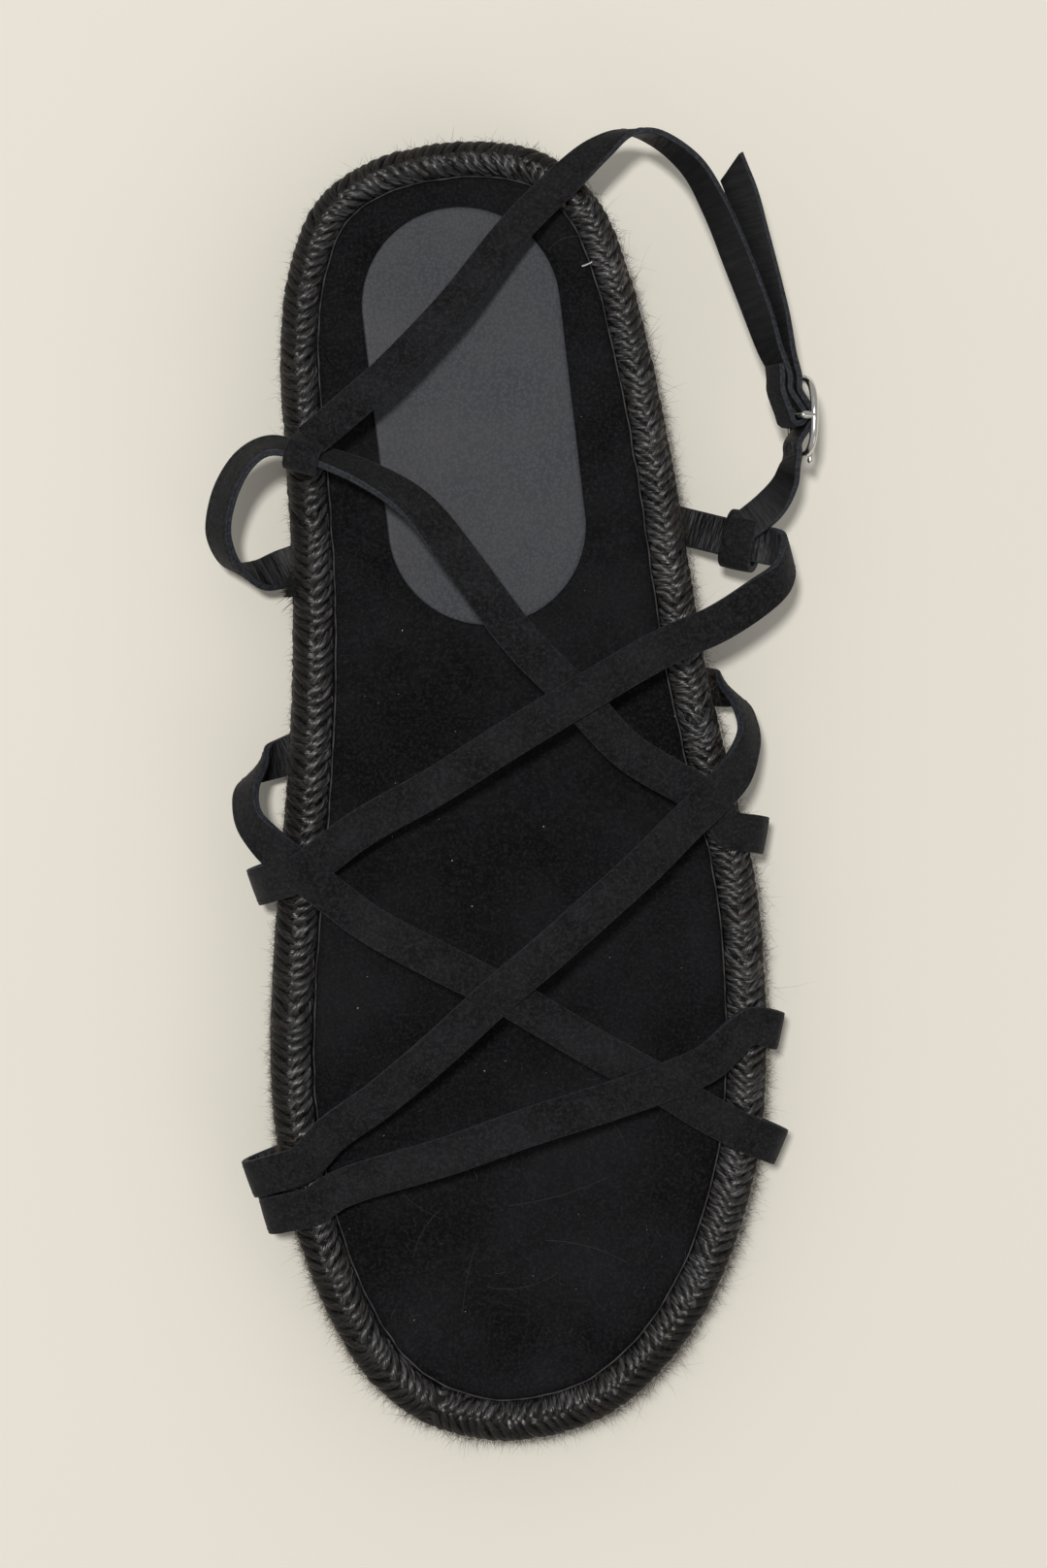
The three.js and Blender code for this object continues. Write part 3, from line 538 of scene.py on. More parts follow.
def across_rows(loop, columns):
    count = len(loop) // 2
    left, right = loop[:count + 1], np.concatenate([loop[:1], loop[:count - 1:-1]])
    share = np.linspace(0, 1, columns)[None, :, None]
    return left[:, None] * (1 - share) + right[:, None] * share


def layers(name, loop, rows, finishes, columns=14):
    rings = [ring_at(loop, inset, height) for inset, height in rows]
    wall = np.stack([come_round(ring) for ring in rings])
    thing = roll(name, [wall], finishes, close=False)
    lids = [roll(name + "_lid", [across_rows(rings[index], columns)], finishes, close=False) for index in (0, -1)]
    return join([thing, *lids])


def join(things):
    piece = bmesh.new()
    for thing in things:
        piece.from_mesh(thing.data)
    finishes = list(things[0].data.materials)
    name = things[0].name
    for thing in things:
        shape = thing.data
        bpy.data.objects.remove(thing)
        bpy.data.meshes.remove(shape)
    bmesh.ops.remove_doubles(piece, verts=piece.verts, dist=2e-6)
    bmesh.ops.dissolve_degenerate(piece, edges=piece.edges, dist=1e-7)
    bmesh.ops.recalc_face_normals(piece, faces=piece.faces)
    return finish_piece(name, piece, finishes)


def fixed(value):
    return lambda along: value


outsole = layers("rubber_outsole", border, [
    (fixed(4.1), tread), (fixed(3.5), lambda a: tread(a) + 0.15), (fixed(3.1), lambda a: tread(a) + 0.5),
    (fixed(3.0), lambda a: tread(a) + 0.9), (fixed(3.0), lambda a: spring(a) + rubber_height),
], [rubber])
dress(outsole, "outsole")

coil_core = layers("coil_core", border, [
    (fixed(1.7), rope_base), (fixed(1.5), lambda a: rope_base(a) + 1), (fixed(1.5), lambda a: rope_top(a) - 1),
    (fixed(1.7), rope_top),
], [core_finish])
dress(coil_core, slot="jute_sole")

footbed = layers("footbed", border, [
    (lambda a: edging_width(a) - 1.2, edging_base),
    (lambda a: edging_width(a) - 0.6, lambda a: footbed_top(a) - 1.3),
    (lambda a: edging_width(a) + 0.1, lambda a: footbed_top(a) - 0.6),
    (lambda a: edging_width(a) + 0.8, lambda a: footbed_top(a) - 0.16),
    (lambda a: edging_width(a) + 1.9, lambda a: footbed_top(a) + 0.02),
    (lambda a: edging_width(a) + 4.5, footbed_top),
], [footbed_suede], 24)
dress(footbed, "insole")

# %% [markdown]
# ## Heel pad
# A thin leather pad is glued on the heel of the footbed. Its outline is a stadium, a little turned. It is plain
# leather, with a skived edge.

# %% Heel pad
pad_length, pad_width, pad_turn = 85.5, 40.6, math.radians(6.8)


def pad_loop():
    radius = pad_width / 2
    straight = pad_length / 2 - radius
    turns = full_turn(128) + np.pi / 2
    ends = np.where(np.sin(turns) >= -1e-9, straight, -straight)
    x, y = radius * np.cos(turns), radius * np.sin(turns) + ends
    cos, sin = math.cos(pad_turn), math.sin(pad_turn)
    return np.stack([x * cos - y * sin, x * sin + y * cos, 0 * x], axis=1) + plan(0.212, -0.092)


heel_pad = layers("leather_pad", pad_loop(), [
    (fixed(0.0), lambda a: footbed_top(a) - 0.1), (fixed(0.0), lambda a: footbed_top(a) + 0.72),
    (fixed(0.08), lambda a: footbed_top(a) + 0.86), (fixed(0.28), lambda a: footbed_top(a) + 0.93),
    (fixed(0.9), lambda a: footbed_top(a) + 0.95),
], [pad_leather], 10)
dress(heel_pad, "heel_pad")

# %% [markdown]
# ## Braided rope
# The rope is a flat braid. In a flat braid each strand swings from side to side as a sine, and is on top in one
# half of each swing and below in the other, so the top shows two columns of slanted strands that meet in a
# ridge. Three braids go round: a wide one over the edging's crest and two, one on the other, in the sole below.
# A braid lies on a profile: a strand is placed by how far round the profile it is and how high it stands on it.
# In the photo the slanted strands point to the toe on both sides, so the swings are counted forwards along the outer
# side and backwards along the inner side, and the braid turns about at the heel and at the toe. On the inner side the
# ridge lies farther out. There, and round the toe, the column outside the ridge takes the darker yarn: painted shade
# where the braid turns away from the light.

# %% Paths round the sole
round_steps = 1000
loop_length = lengths_of(outline)[-1]
walk = at_lengths(outline, np.linspace(0, loop_length, round_steps, endpoint=False))
walk_in = inward_of(walk)
walk_along = along_of(walk[:, 1])
edge_scale = edging_width(walk_along) / edging_across


def edging_profile(depth):
    shape = curve_through(np.array([(1.6, -1.5), (0.4, 0.3), (0, 2.2), (0.6, 4.5), (2.3, 6.5), (4.5, 7.2), (6.8, 6.6),
                                    (8.4, 5.0), (9, 2.9), (9, 0)], float))
    run = run_along(shape)
    outward = np.stack([-run[:, 1], run[:, 0]], axis=1)
    moved = shape - outward * depth
    return moved, lengths_of(moved), outward


def ridge_profile(depth):
    rise = np.linspace(-4.6, 4.6, 60)
    moved = np.stack([depth + 0.9 * (rise / 3.8) ** 2, rise], axis=1)
    run = run_along(moved)
    return moved, lengths_of(moved), np.stack([-run[:, 1], run[:, 0]], axis=1)


def wander(count, size, seed, waves=9):
    dice = np.random.RandomState(seed)
    turn = full_turn(count)
    return size * sum(dice.uniform(-1, 1) * np.sin(dice.randint(3, 90) * turn + dice.uniform(0, 6.3))
                      for _ in range(waves)) / math.sqrt(waves)


def soften(values, reach):
    return sum(np.roll(values, shift) for shift in range(-reach, reach + 1)) / (2 * reach + 1)


def nearest_step(x, y):
    return int(np.argmin(np.hypot(walk[:, 0] - x, walk[:, 1] - y)))


turn_steps = sorted((nearest_step(12, 124), nearest_step(-18, -128)))
first_half = np.zeros(round_steps, bool)
first_half[turn_steps[0]:turn_steps[1]] = True
outer_half = first_half if walk[first_half, 0].mean() > walk[~first_half, 0].mean() else ~first_half
swing_clock = soften(np.cumsum(np.where(outer_half, 1 / outer_half.sum(), -1 / (~outer_half).sum())), 3)
inner_share = soften((~outer_half).astype(float), 25)


def braid(profile, middle, base, half_width, lift, strands, pitch, section, seed, scale=1.0, sides=6):
    """section: half the width and half the thickness of a strand. Returns the strands, and for each of their
    rings how far it swings from the braid's middle."""
    shape, lengths, outward = profile
    turn = 2 * np.pi * round(loop_length / 2 / pitch) * swing_clock
    tubes, swings = [], []
    for strand in range(strands):
        phase = turn + 2 * np.pi * strand / strands + wander(round_steps, 0.2, seed + 20)
        mark = seed + strand
        swing = half_width * np.sin(phase) + wander(round_steps, 0.25, mark)
        height = lift * np.sin(2 * phase) + wander(round_steps, 0.14, mark + 50)
        spot = middle + swing
        out = np.stack([np.interp(spot, lengths, outward[:, axis]) for axis in (0, 1)], axis=1)
        depth = np.interp(spot, lengths, shape[:, 0]) + height * out[:, 0]
        path = walk + walk_in * (depth * scale)[:, None]
        path[:, 2] = base(along_of(path[:, 1])) + np.interp(spot, lengths, shape[:, 1]) + height * out[:, 1]
        normal = unit(walk_in * out[:, :1] + np.array([0, 0, 1]) * out[:, 1:])
        run = run_round(path)
        flat = unit(np.cross(normal, run))
        rise = np.cross(run, flat)
        around = full_turn(sides) - np.pi / 2
        size = (1 + wander(round_steps, 0.11, mark + 90))[:, None, None]
        rings = path[:, None] + size * circles(around, section[0] * flat, section[1] * rise)
        tubes.append(come_round(rings))
        swings.append(come_round(swing))
    return tubes, np.concatenate(swings)


def tube_round(path, radius, sides, closed=True):
    run = run_round(path) if closed else run_along(path)
    flat = unit(np.cross(run, np.array([0.0, 0.0, 1.0])) + 1e-9)
    rise = np.cross(flat, run)
    turns = full_turn(sides)
    size = np.broadcast_to(radius, len(path))[:, None, None]
    rings = path[:, None] + size * circles(turns, flat, rise)
    return come_round(rings) if closed else rings


# %% Lay the braids
top_strands, top_swings = braid(edging_profile(1.3), 8.7 - 0.6 * inner_share, edging_base, 4.4 + 0.5 * inner_share,
                                0.6, 9, 19.2, (0.98, 0.74), 1, edge_scale)
# The outer column on the inner side and round the toe gets the shaded yarn: painted shade.
shaded_column_from = -2.4 + np.maximum(1.8 * inner_share, 2.6 * ease(-walk[:, 1], 90, 118))
shaded_column = top_swings < np.tile(np.append(shaded_column_from, shaded_column_from[0]), len(top_strands))
top_braid = roll("edging_braid", top_strands, [lit_top_yarn, shaded_side_yarn], band_of=shaded_column[:, None])
dress(top_braid, "rope_edging")
for number, nodes in ((0, ["jute_sole"]), (1, [])):
    share = (number + 0.5) / 2
    strands, _ = braid(ridge_profile(1.3), 4.65, lambda a, s=share: rope_base(a) + s * (rope_top(a) - rope_base(a)),
                       2.9, 0.5, 5, 13.0, (1.05, 0.7), 200 + 50 * number)
    coil = roll(f"coil_braid_{number + 1}", strands, [shaded_side_yarn])
    dress(coil, *nodes, slot="jute_sole")

# %% [markdown]
# ## Core of the edging
# Under its yarns the edging is a plain dark ring, so no light passes between them.

# %% Core of the edging
core_points = np.array([(2.2, 0), (1.5, 2.2), (1.9, 4.0), (3.0, 5.4), (4.5, 5.9), (6.4, 5.4), (7.5, 4.2), (7.8, 2.6),
                        (7.8, 0)])
core_rings = np.stack([walk + walk_in * (depth * edge_scale)[:, None] + np.array([0, 0, 1]) * (
    edging_base(walk_along) + rise)[:, None] for depth, rise in core_points], axis=1)
edging_core = roll("edging_core", [come_round(core_rings)], [core_finish])
dress(edging_core, slot="rope_edging")

# %% [markdown]
# ## Seam at the footbed's rim
# A fine pale line runs between the footbed and the rope, where the lining is turned over and sewn.

# %% Seam line
seam_path = walk + walk_in * (edging_width(walk_along) - 0.1 + wander(round_steps, 0.12, 301))[:, None]
seam_path[:, 2] = footbed_top(walk_along) - 0.1 + wander(round_steps, 0.08, 300)
seam = roll("footbed_seam", [tube_round(seam_path, 0.2, 5)], [seam_finish])
dress(seam, slot="insole")

# %% [markdown]
# ## Straps
# A strap is a flat band: suede outside, lining inside, a cut edge on each side with a fine line between the two
# leathers. Its path comes from the same rows as the solid's: shares of the sole for the place, of the instep for
# the height. Where a strap stands on edge, swing and roll turn its width.

# %% Rows of the straps
instep_rise, strap_width, strap_thickness, seam_depth = 24, 7.8, 1.8, 0.3
slot_depth, fold_reach, strap_lift = 9, 5.6, 1.8
routes = {
    "a": (("folded", 0.821, "medial", 16, 1, 0), [
        (0.801, -0.355, 0.26), (0.773, -0.150, 0.70), (0.753, -0.013, 0.84), (0.733, 0.164, 0.70),
        (0.722, 0.262, 0.52), (0.707, 0.368, 0.28)], ("folded", 0.684, "lateral", 168, 0.55, 0)),
    "b": (("folded", 0.790, "medial", 20, 1.3, 0), [
        (0.761, -0.379, 0.22), (0.733, -0.287, 0.46), (0.695, -0.178, 0.72), (0.651, -0.059, 0.90),
        (0.623, 0.025, 0.98), (0.590, 0.122, 0.96), (0.559, 0.216, 0.80), (0.524, 0.316, 0.50),
        (0.507, 0.366, 0.35), (0.486, 0.422, 0.20, 145, 20), (0.458, 0.455, 0.03, 180, 58),
        (0.437, 0.449, -0.26, 195, 68), (0.424, 0.431, -0.62, 230, 80), (0.420, 0.413, -0.88, 80, 45)],
        ("straight", 0.418, "lateral", 172)),
    "c": (("folded", 0.770, "lateral", 157, 0.85, 0), [
        (0.747, 0.368, 0.22), (0.722, 0.264, 0.52, 1), (0.693, 0.130, 0.68), (0.650, -0.058, 0.90, 1),
        (0.625, -0.185, 0.72), (0.600, -0.304, 0.46), (0.575, -0.390, 0.22), (0.556, -0.452, 0.17, 1),
        (0.538, -0.505, 0.10, 40, 30), (0.522, -0.537, 0.02, 17, 55), (0.502, -0.543, -0.24, 354, 65),
        (0.486, -0.524, -0.60, 320, 80), (0.478, -0.497, -0.88, 119, 45)],
        ("straight", 0.472, "medial", 25)),
    "d": (("folded", 0.567, "medial", 20, 1.05, 1), [
        (0.528, -0.321, 0.36), (0.497, -0.183, 0.56), (0.463, -0.047, 0.73), (0.428, 0.100, 0.78),
        (0.391, 0.268, 0.57), (0.372, 0.380, 0.42), (0.352, 0.462, 0.32, 128, 12), (0.337, 0.511, 0.22, 145, 45),
        (0.322, 0.530, 0.07, 175, 68), (0.314, 0.530, -0.12, 100, 35), (0.310, 0.497, -0.27, 80, 4),
        (0.306, 0.450, -0.40, 78, 0), (0.300, 0.398, -0.68)], ("straight", 0.292, "lateral", 166)),
    "e": (("folded", 0.532, "lateral", 170, 0.78, 0), [
        (0.508, 0.370, 0.35, 1), (0.470, 0.203, 0.52), (0.429, 0.096, 0.78, 1), (0.387, -0.013, 0.76),
        (0.327, -0.130, 0.70), (0.284, -0.219, 0.61, 220, 30), (0.260, -0.316, 0.53, 235, 50),
        (0.244, -0.430, 0.44, 248, 65), (0.239, -0.497, 0.36, 276, 65), (0.250, -0.549, 0.20, 315, 62),
        (0.277, -0.588, -0.02, 343, 60), (0.305, -0.596, -0.30, 6, 62), (0.327, -0.566, -0.64, 53, 80),
        (0.333, -0.513, -0.88, 270, 45)], ("straight", 0.325, "medial", 20)),
}


def compass(degrees):
    return np.array([math.cos(math.radians(degrees)), math.sin(math.radians(degrees)), 0.0])


def width_line(swing, roll_up):
    tilt = math.radians(roll_up)
    return compass(swing) * math.cos(tilt) + np.array([0, 0, math.sin(tilt)])


def row_key(row):
    """along, across, up, then nothing, or the number of straps above, or swing and roll."""
    along, across, up, *more = row
    under = more[0] if len(more) == 1 else 0
    place = plan(along, across)
    rise = up * (crest(along) - slot_height(along)) if up < 0 else up * instep_rise
    place[2] = crest(along) + rise - under * (strap_thickness - seam_depth)
    return place, width_line(*more) if len(more) == 2 else None


def end_keys(kind, along, side, heading, reach=1, over=0):
    wall, outward = wall_point(along, side), -compass(heading)
    width = np.cross([0, 0, 1], outward)
    slot, top = float(slot_height(along)), float(crest(along))

    def at(out, height):
        place = wall + outward * out
        place[2] = height
        return place, width.copy()

    keys = [at(-slot_depth, slot), at(-slot_depth / 2, slot), at(1, slot)]
    if kind == "straight":
        return keys
    far, drop = reach * fold_reach - strap_thickness / 2, top - slot
    extra = over * (strap_thickness - seam_depth)
    return [*keys, at(far * 0.84, slot + drop * 0.17), at(far, slot + drop * 0.45),
            at(far * 0.86, slot + drop * 0.74), at(far * 0.3, top - drop * 0.03 + extra),
            at(-float(edging_width(along)) / 2, top + strap_lift + extra)]


def route_keys(route):
    start, rows, end = route
    return [*end_keys(*start), *(row_key(row) for row in rows), *reversed(end_keys(*end))]


# %% Frames along a strap
def band_frames(keys, step=1.0, smooth=2.2):
    """Places, runs, widths and faces, evenly spaced along a strap, with its twist smoothed."""
    places = np.array([key[0] for key in keys])
    last = len(keys) - 1
    widths = []
    for index, (place, width) in enumerate(keys):
        if width is None:
            width = unit(np.cross([0, 0, 1], places[min(index + 1, last)] - places[max(index - 1, 0)]))
        widths.append(-width if widths and np.dot(width, widths[-1]) < 0 else width)
    dense = curve_through(places)
    spot = np.linspace(0, last, len(dense))
    have = lengths_of(dense)
    count = round(have[-1] / step)
    lengths = np.linspace(0, have[-1], count + 1)
    place = at_lengths(dense, lengths)
    key_spot = np.interp(lengths, have, spot)
    width = np.stack([np.interp(key_spot, np.arange(last + 1), np.array(widths)[:, axis]) for axis in range(3)],
                     axis=1)
    reach = int(3 * smooth / step)
    bell = np.exp(-0.5 * (np.arange(-reach, reach + 1) * step / smooth) ** 2)
    bell /= bell.sum()
    padded = np.concatenate([np.repeat(width[:1], reach, 0), width, np.repeat(width[-1:], reach, 0)])
    width = np.stack([np.convolve(padded[:, axis], bell, "valid") for axis in range(3)], axis=1)
    run = run_along(place)
    width = unit(width - run * np.sum(width * run, axis=1, keepdims=True))
    return {"place": place, "run": run, "width": width, "face": np.cross(run, width), "length": lengths}


def face_up(frames, index, want):
    """Turns the outer face of a band to the side wanted, as seen at one of its frames."""
    if np.dot(frames["face"][index], want) < 0:
        frames["face"], frames["width"] = -frames["face"], -frames["width"]
    return frames


# %% [markdown]
# The section of a band goes once round: suede on top with a slight crown, the edge with its line between the
# leathers, the flat lining, and the other edge. A number for each strip says which finish it takes.

# %% Section of a band
def band_section(width, thickness):
    half, thick = width / 2, thickness / 2
    top = [(x * (half - 0.35), thick + 0.10 * (1 - x * x), 0) for x in np.linspace(-1, 1, 8)]
    edge = [(half - 0.12, thick - 0.03, 0), (half, thick - 0.3, 1), (half - 0.02, 0.12, 1), (half - 0.12, 0.02, 1),
            (half - 0.02, -0.08, 1), (half, -thick + 0.25, 1), (half - 0.12, -thick + 0.03, 1)]
    under = [(x * (half - 0.35), -thick, 2) for x in np.linspace(1, -1, 6)]
    other = [(-x, z, mark) for x, z, mark in reversed(edge)]
    ring = top + edge + under + other
    bands = []
    for index, (_, _, mark) in enumerate(ring):
        following = ring[(index + 1) % len(ring)][2]
        bands.append(mark if mark == following else 1)
    return np.array([(x, z) for x, z, _ in ring]), bands


def band(name, frames, width, thickness, closed=False, tip=0.0, back=lining):
    section, bands = band_section(width, thickness)
    count = len(frames["place"])
    shares = np.broadcast_to(section[:, 0], (count, len(section))).copy()
    if tip:
        left = np.clip(1 - (frames["length"][-1] - frames["length"]) / tip, 0, 1) * 0.93
        upper = np.sign(frames["width"][-1, 2])
        shares = upper * (width / 2 - (width / 2 - upper * shares) * (1 - left[:, None]))
    rings = (frames["place"][:, None] + frames["width"][:, None] * shares[..., None]
             + frames["face"][:, None] * section[None, :, 1, None])
    if closed:
        rings = come_round(rings)
    lengths = lengths_of(rings.mean(axis=1))
    across = np.concatenate([section[:, 0], section[:1, 0]])
    chart = np.stack(np.meshgrid(lengths, across, indexing="ij"), axis=-1)
    return roll(name, [rings], [strap_suede, cut_edge, back], band_of=bands, fill=not closed, maps=[chart])


# %% Lay the five upper straps
visual_thickness = 1.55
strap_frames = {name: band_frames(route_keys(route)) for name, route in routes.items()}
for frames in strap_frames.values():
    face_up(frames, len(frames["place"]) // 2, (0, 0, 1))
for name, frames in strap_frames.items():
    strap = band(f"strap_{name}", frames, strap_width, visual_thickness, back=creased_lining)
    dress(strap, *(["upper_straps"] if name == "a" else []), slot="upper_straps")

# %% [markdown]
# ## Strap ends turned round other straps
# The ankle strap starts as a loop round the rearmost upper strap, and the holed strap as one round the strap at
# the outer side. Such an end is an oval band round its host.

# %% Oval bands
ankle_width, ankle_thickness, clearance, loop_slack = 7.0, 1.4, 0.3, 1.0
ankle_visual_thickness = 1.25


def host_spot(route, row_index):
    wanted = row_key(routes[route][1][row_index])[0]
    frames = strap_frames[route]
    nearest = int(np.argmin(np.linalg.norm(frames["place"] - wanted, axis=1)))
    return {name: values[nearest] for name, values in frames.items()}


def turned_end(name, host, thickness):
    half_wide = strap_width / 2 + clearance + loop_slack / 2
    half_thick = strap_thickness / 2 + clearance + loop_slack / 2
    radius = half_thick + thickness / 2
    turns = full_turn(48) + np.pi / 48
    middle = np.sign(np.cos(turns)) * (half_wide - half_thick)
    place = (host["place"] + host["width"] * (middle + radius * np.cos(turns))[:, None]
             + host["face"] * (radius * np.sin(turns))[:, None])
    run = run_round(place)
    width = np.broadcast_to(host["run"], place.shape)
    face = np.cross(run, width)
    outward = host["width"] * np.cos(turns)[:, None] + host["face"] * np.sin(turns)[:, None]
    if np.sum(face * outward) < 0:
        width, face = -width, -face
    return band(name, {"place": place, "run": run, "width": width, "face": face, "length": lengths_of(place)},
                ankle_width, thickness, closed=True)


knot, anchor = host_spot("e", 7), host_spot("d", 11)

# %% [markdown]
# ## Buckle
# The buckle sits at the outer side of the heel, outside the straps that pass through it. Its own frame has a
# run to the toe, a width that leans outwards from upright and a face that looks outwards. A superellipse makes
# the ring, two short posts carry the centre bar behind it, and the prong hooks round the bar.

# %% The buckle's frame
wire_width, buckle_length, buckle_height, bar_width, bar_drop, prong_width = 1.6, 17, 13, 1.2, 2.4, 1.2
wire, layer_pitch, layer_slack = wire_width / 2, ankle_thickness + clearance, 0.4
buckle_run, buckle_width = compass(270), width_line(360, 73)
buckle_face = np.cross(buckle_width, buckle_run)
buckle_place = row_key((0.2115, 0.562, -0.04))[0]


def in_buckle(run, face, width=0.0):
    return buckle_place + buckle_run * run + buckle_face * face + buckle_width * width


def buckle_key(run, face):
    return in_buckle(run, face), buckle_width.copy()


bar_wrap = bar_width / 2 + clearance + ankle_thickness / 2
end_reach = buckle_length / 2 - wire
tail_inside = -(wire + clearance + layer_slack + ankle_thickness / 2)
ankle_inside = tail_inside - layer_pitch - layer_slack
ankle_over_bar = -bar_drop + bar_wrap
tail_over_bar = ankle_over_bar + layer_pitch
ring_leave = end_reach * 0.72

# %% Wires
def wire_tube(points, width, sides=14, step=0.5):
    path = curve_through(points)
    path = at_lengths(path, np.linspace(0, lengths_of(path)[-1], max(3, round(lengths_of(path)[-1] / step))))
    run = run_along(path)
    flat = unit(np.cross(run, buckle_width if abs(np.dot(run[0], buckle_width)) < 0.8 else buckle_face))
    rise = np.cross(flat, run)
    turns = full_turn(sides)
    inner = path[:, None] + width / 2 * circles(turns, flat, rise)
    tips = []
    for index, way in ((0, -1), (-1, 1)):
        caps = [path[index] + run[index] * way * width / 2 * math.sin(t)
                + (inner[index] - path[index]) * max(math.cos(t), 0.02) for t in (0.5, 1.0, 1.4)]
        tips.append(caps)
    return np.concatenate([np.array(tips[0][::-1]), inner, np.array(tips[1])])


def bulge(value):
    """The rounding of a superellipse."""
    return np.sign(value) * np.abs(value) ** 0.75


ring_turns = full_turn(120)
ring_path = (buckle_place + buckle_run * ((buckle_length / 2 - wire) * bulge(np.cos(ring_turns)))[:, None]
             + buckle_width * ((buckle_height / 2 - wire) * bulge(np.sin(ring_turns)))[:, None])
ring_run = run_round(ring_path)
ring_out = np.cross(ring_run, buckle_face)
ring_rings = ring_path[:, None] + wire * circles(full_turn(16), ring_out, buckle_face[None])
bar_half = buckle_height / 2 - wire
buckle_ring = roll("buckle_ring", [come_round(ring_rings)], [wire_finish])
dress(buckle_ring, "buckle_frame")
bar_tubes = [wire_tube([in_buckle(0, -bar_drop, -bar_half), in_buckle(0, -bar_drop, bar_half)], bar_width)]
bar_tubes += [wire_tube([in_buckle(0, -bar_drop, way * bar_half), in_buckle(0, 0, way * bar_half)], wire_width)
              for way in (-1, 1)]
buckle_bar = roll("buckle_bar", bar_tubes, [wire_finish], fill=True)
dress(buckle_bar, slot="buckle_frame")

prong_seat = wire + clearance + prong_width / 2
hook = bar_width / 2 + clearance + prong_width / 2
prong_points = [in_buckle(hook * 0.7, -bar_drop - hook * 0.7), in_buckle(-hook * 0.2, -bar_drop - hook),
                in_buckle(-hook, -bar_drop), in_buckle(-hook * 0.35, -bar_drop + hook), in_buckle(0.5, 0.3),
                in_buckle(1.2, prong_seat + 0.2), in_buckle(end_reach * 0.45, prong_seat + 0.5),
                in_buckle(end_reach + 1.2, prong_seat)]
prong = roll("buckle_prong_wire", [wire_tube(prong_points, prong_width, 12, 0.35)], [wire_finish], fill=True)
dress(prong, "buckle_prong")

# %% [markdown]
# ## Ankle strap and holed strap
# The ankle strap goes from its loop over the footbed, behind the heel and to the buckle's bar, round it and back
# on itself. The holed strap comes from the other side, passes through the ring and lies outside the ankle strap.

# %% Rows of the ankle strap
ankle_rows = [
    (0.206, -0.330, 0.64), (0.188, -0.278, 0.65), (0.136, -0.150, 0.60), (0.075, -0.024, 0.36), (0.038, 0.068, 0.13),
    (0.008, 0.152, 0.06, 303, 42), (-0.005, 0.208, 0.02, 290, 76), (-0.003, 0.262, -0.01, 70, 76),
    (0.018, 0.338, -0.04, 44, 60), (0.050, 0.388, -0.05, 28, 50), (0.092, 0.434, -0.06, 18, 42),
    (0.132, 0.474, -0.06, 14, 44), (0.158, 0.497, -0.05, 8, 56),
]
turn_radius = strap_thickness / 2 + clearance + loop_slack / 2 + ankle_thickness / 2
ankle_start = (knot["place"] + knot["face"] * np.sign(knot["face"][1]) * turn_radius + np.array([0, 0, 1.0]),
               knot["run"].copy())
before_buckle = [ankle_start, *(row_key(row) for row in ankle_rows), buckle_key(-end_reach, ankle_inside),
                 buckle_key(-ring_leave, ankle_inside), buckle_key(-clearance, ankle_over_bar)]
wrap = [buckle_key(bar_wrap * math.cos(math.radians(turn)), -bar_drop + bar_wrap * math.sin(math.radians(turn)))
        for turn in (45, 0, -45)]
ankle_return = [buckle_key(-clearance, -bar_drop - bar_wrap), buckle_key(-ring_leave, ankle_inside - layer_pitch),
                buckle_key(-end_reach, ankle_inside - layer_pitch),
                buckle_key(-10.5, ankle_inside - layer_pitch - clearance)]
ankle_frames = band_frames(before_buckle + wrap + ankle_return, 0.8, 1.8)
ankle_frames = face_up(ankle_frames, 20, (0, 0, 1))
ankle_band = band("ankle_band", ankle_frames, ankle_width, ankle_visual_thickness)
dress(ankle_band, "ankle_strap")
ankle_loop = turned_end("ankle_loop", knot, ankle_thickness)
dress(ankle_loop, slot="ankle_strap")

# %% Rows of the holed strap
tail_length, tail_point, holed_step = 46, 4, 0.5
main_frames = band_frames(before_buckle, 0.5, 1.8)
tail_rows = [(0.12, 1.3, 0.10, 0), (0.30, 1.6, 0.26, 0.05), (0.50, 1.9, 0.38, 0.1), (0.68, 2.1, 0.50, 0.2),
             (0.84, 2.3, 0.66, 0.3), (1, 2.4, 0.82, 0.35)]


def tail_key(share, out, shift, tilt):
    wanted = main_frames["length"][-1] - (tail_length * share + end_reach)
    index = int(np.argmin(np.abs(main_frames["length"] - wanted)))
    width = main_frames["width"][index] * np.sign(main_frames["width"][index, 2])
    outward = main_frames["face"][index] * np.sign(main_frames["face"][index, 0])
    place = main_frames["place"][index] + outward * out * layer_pitch + width * shift * ankle_width
    return place, unit(width - np.array([0, 0, tilt]))


anchor_face = anchor["face"] * np.sign(anchor["face"][2])
anchor_width = anchor["width"] * np.sign(anchor["width"][1])
holed_start = (anchor["place"] + anchor_face * turn_radius + anchor_width * strap_width / 4, anchor["run"].copy())
holed_keys = [holed_start, row_key((0.279, 0.500, -0.12, 350, 25)), row_key((0.262, 0.529, -0.06, 355, 55)),
              buckle_key(end_reach + 2, tail_inside - 0.4), buckle_key(end_reach, tail_inside),
              buckle_key(ring_leave, tail_inside), buckle_key(0, tail_over_bar), buckle_key(-ring_leave, tail_inside),
              buckle_key(-end_reach, tail_inside), *(tail_key(*row) for row in tail_rows)]
holed_frames = band_frames(holed_keys, holed_step, 1.6)
near_buckle = int(np.argmin(np.linalg.norm(holed_frames["place"] - in_buckle(0.5, tail_over_bar), axis=1)))
holed_frames = face_up(holed_frames, near_buckle, buckle_face)
holed_band = band("holed_band", holed_frames, ankle_width, ankle_visual_thickness, tip=tail_point)
dress(holed_band, "holed_strap")
holed_loop = turned_end("holed_loop", anchor, ankle_thickness)
dress(holed_loop, slot="holed_strap")

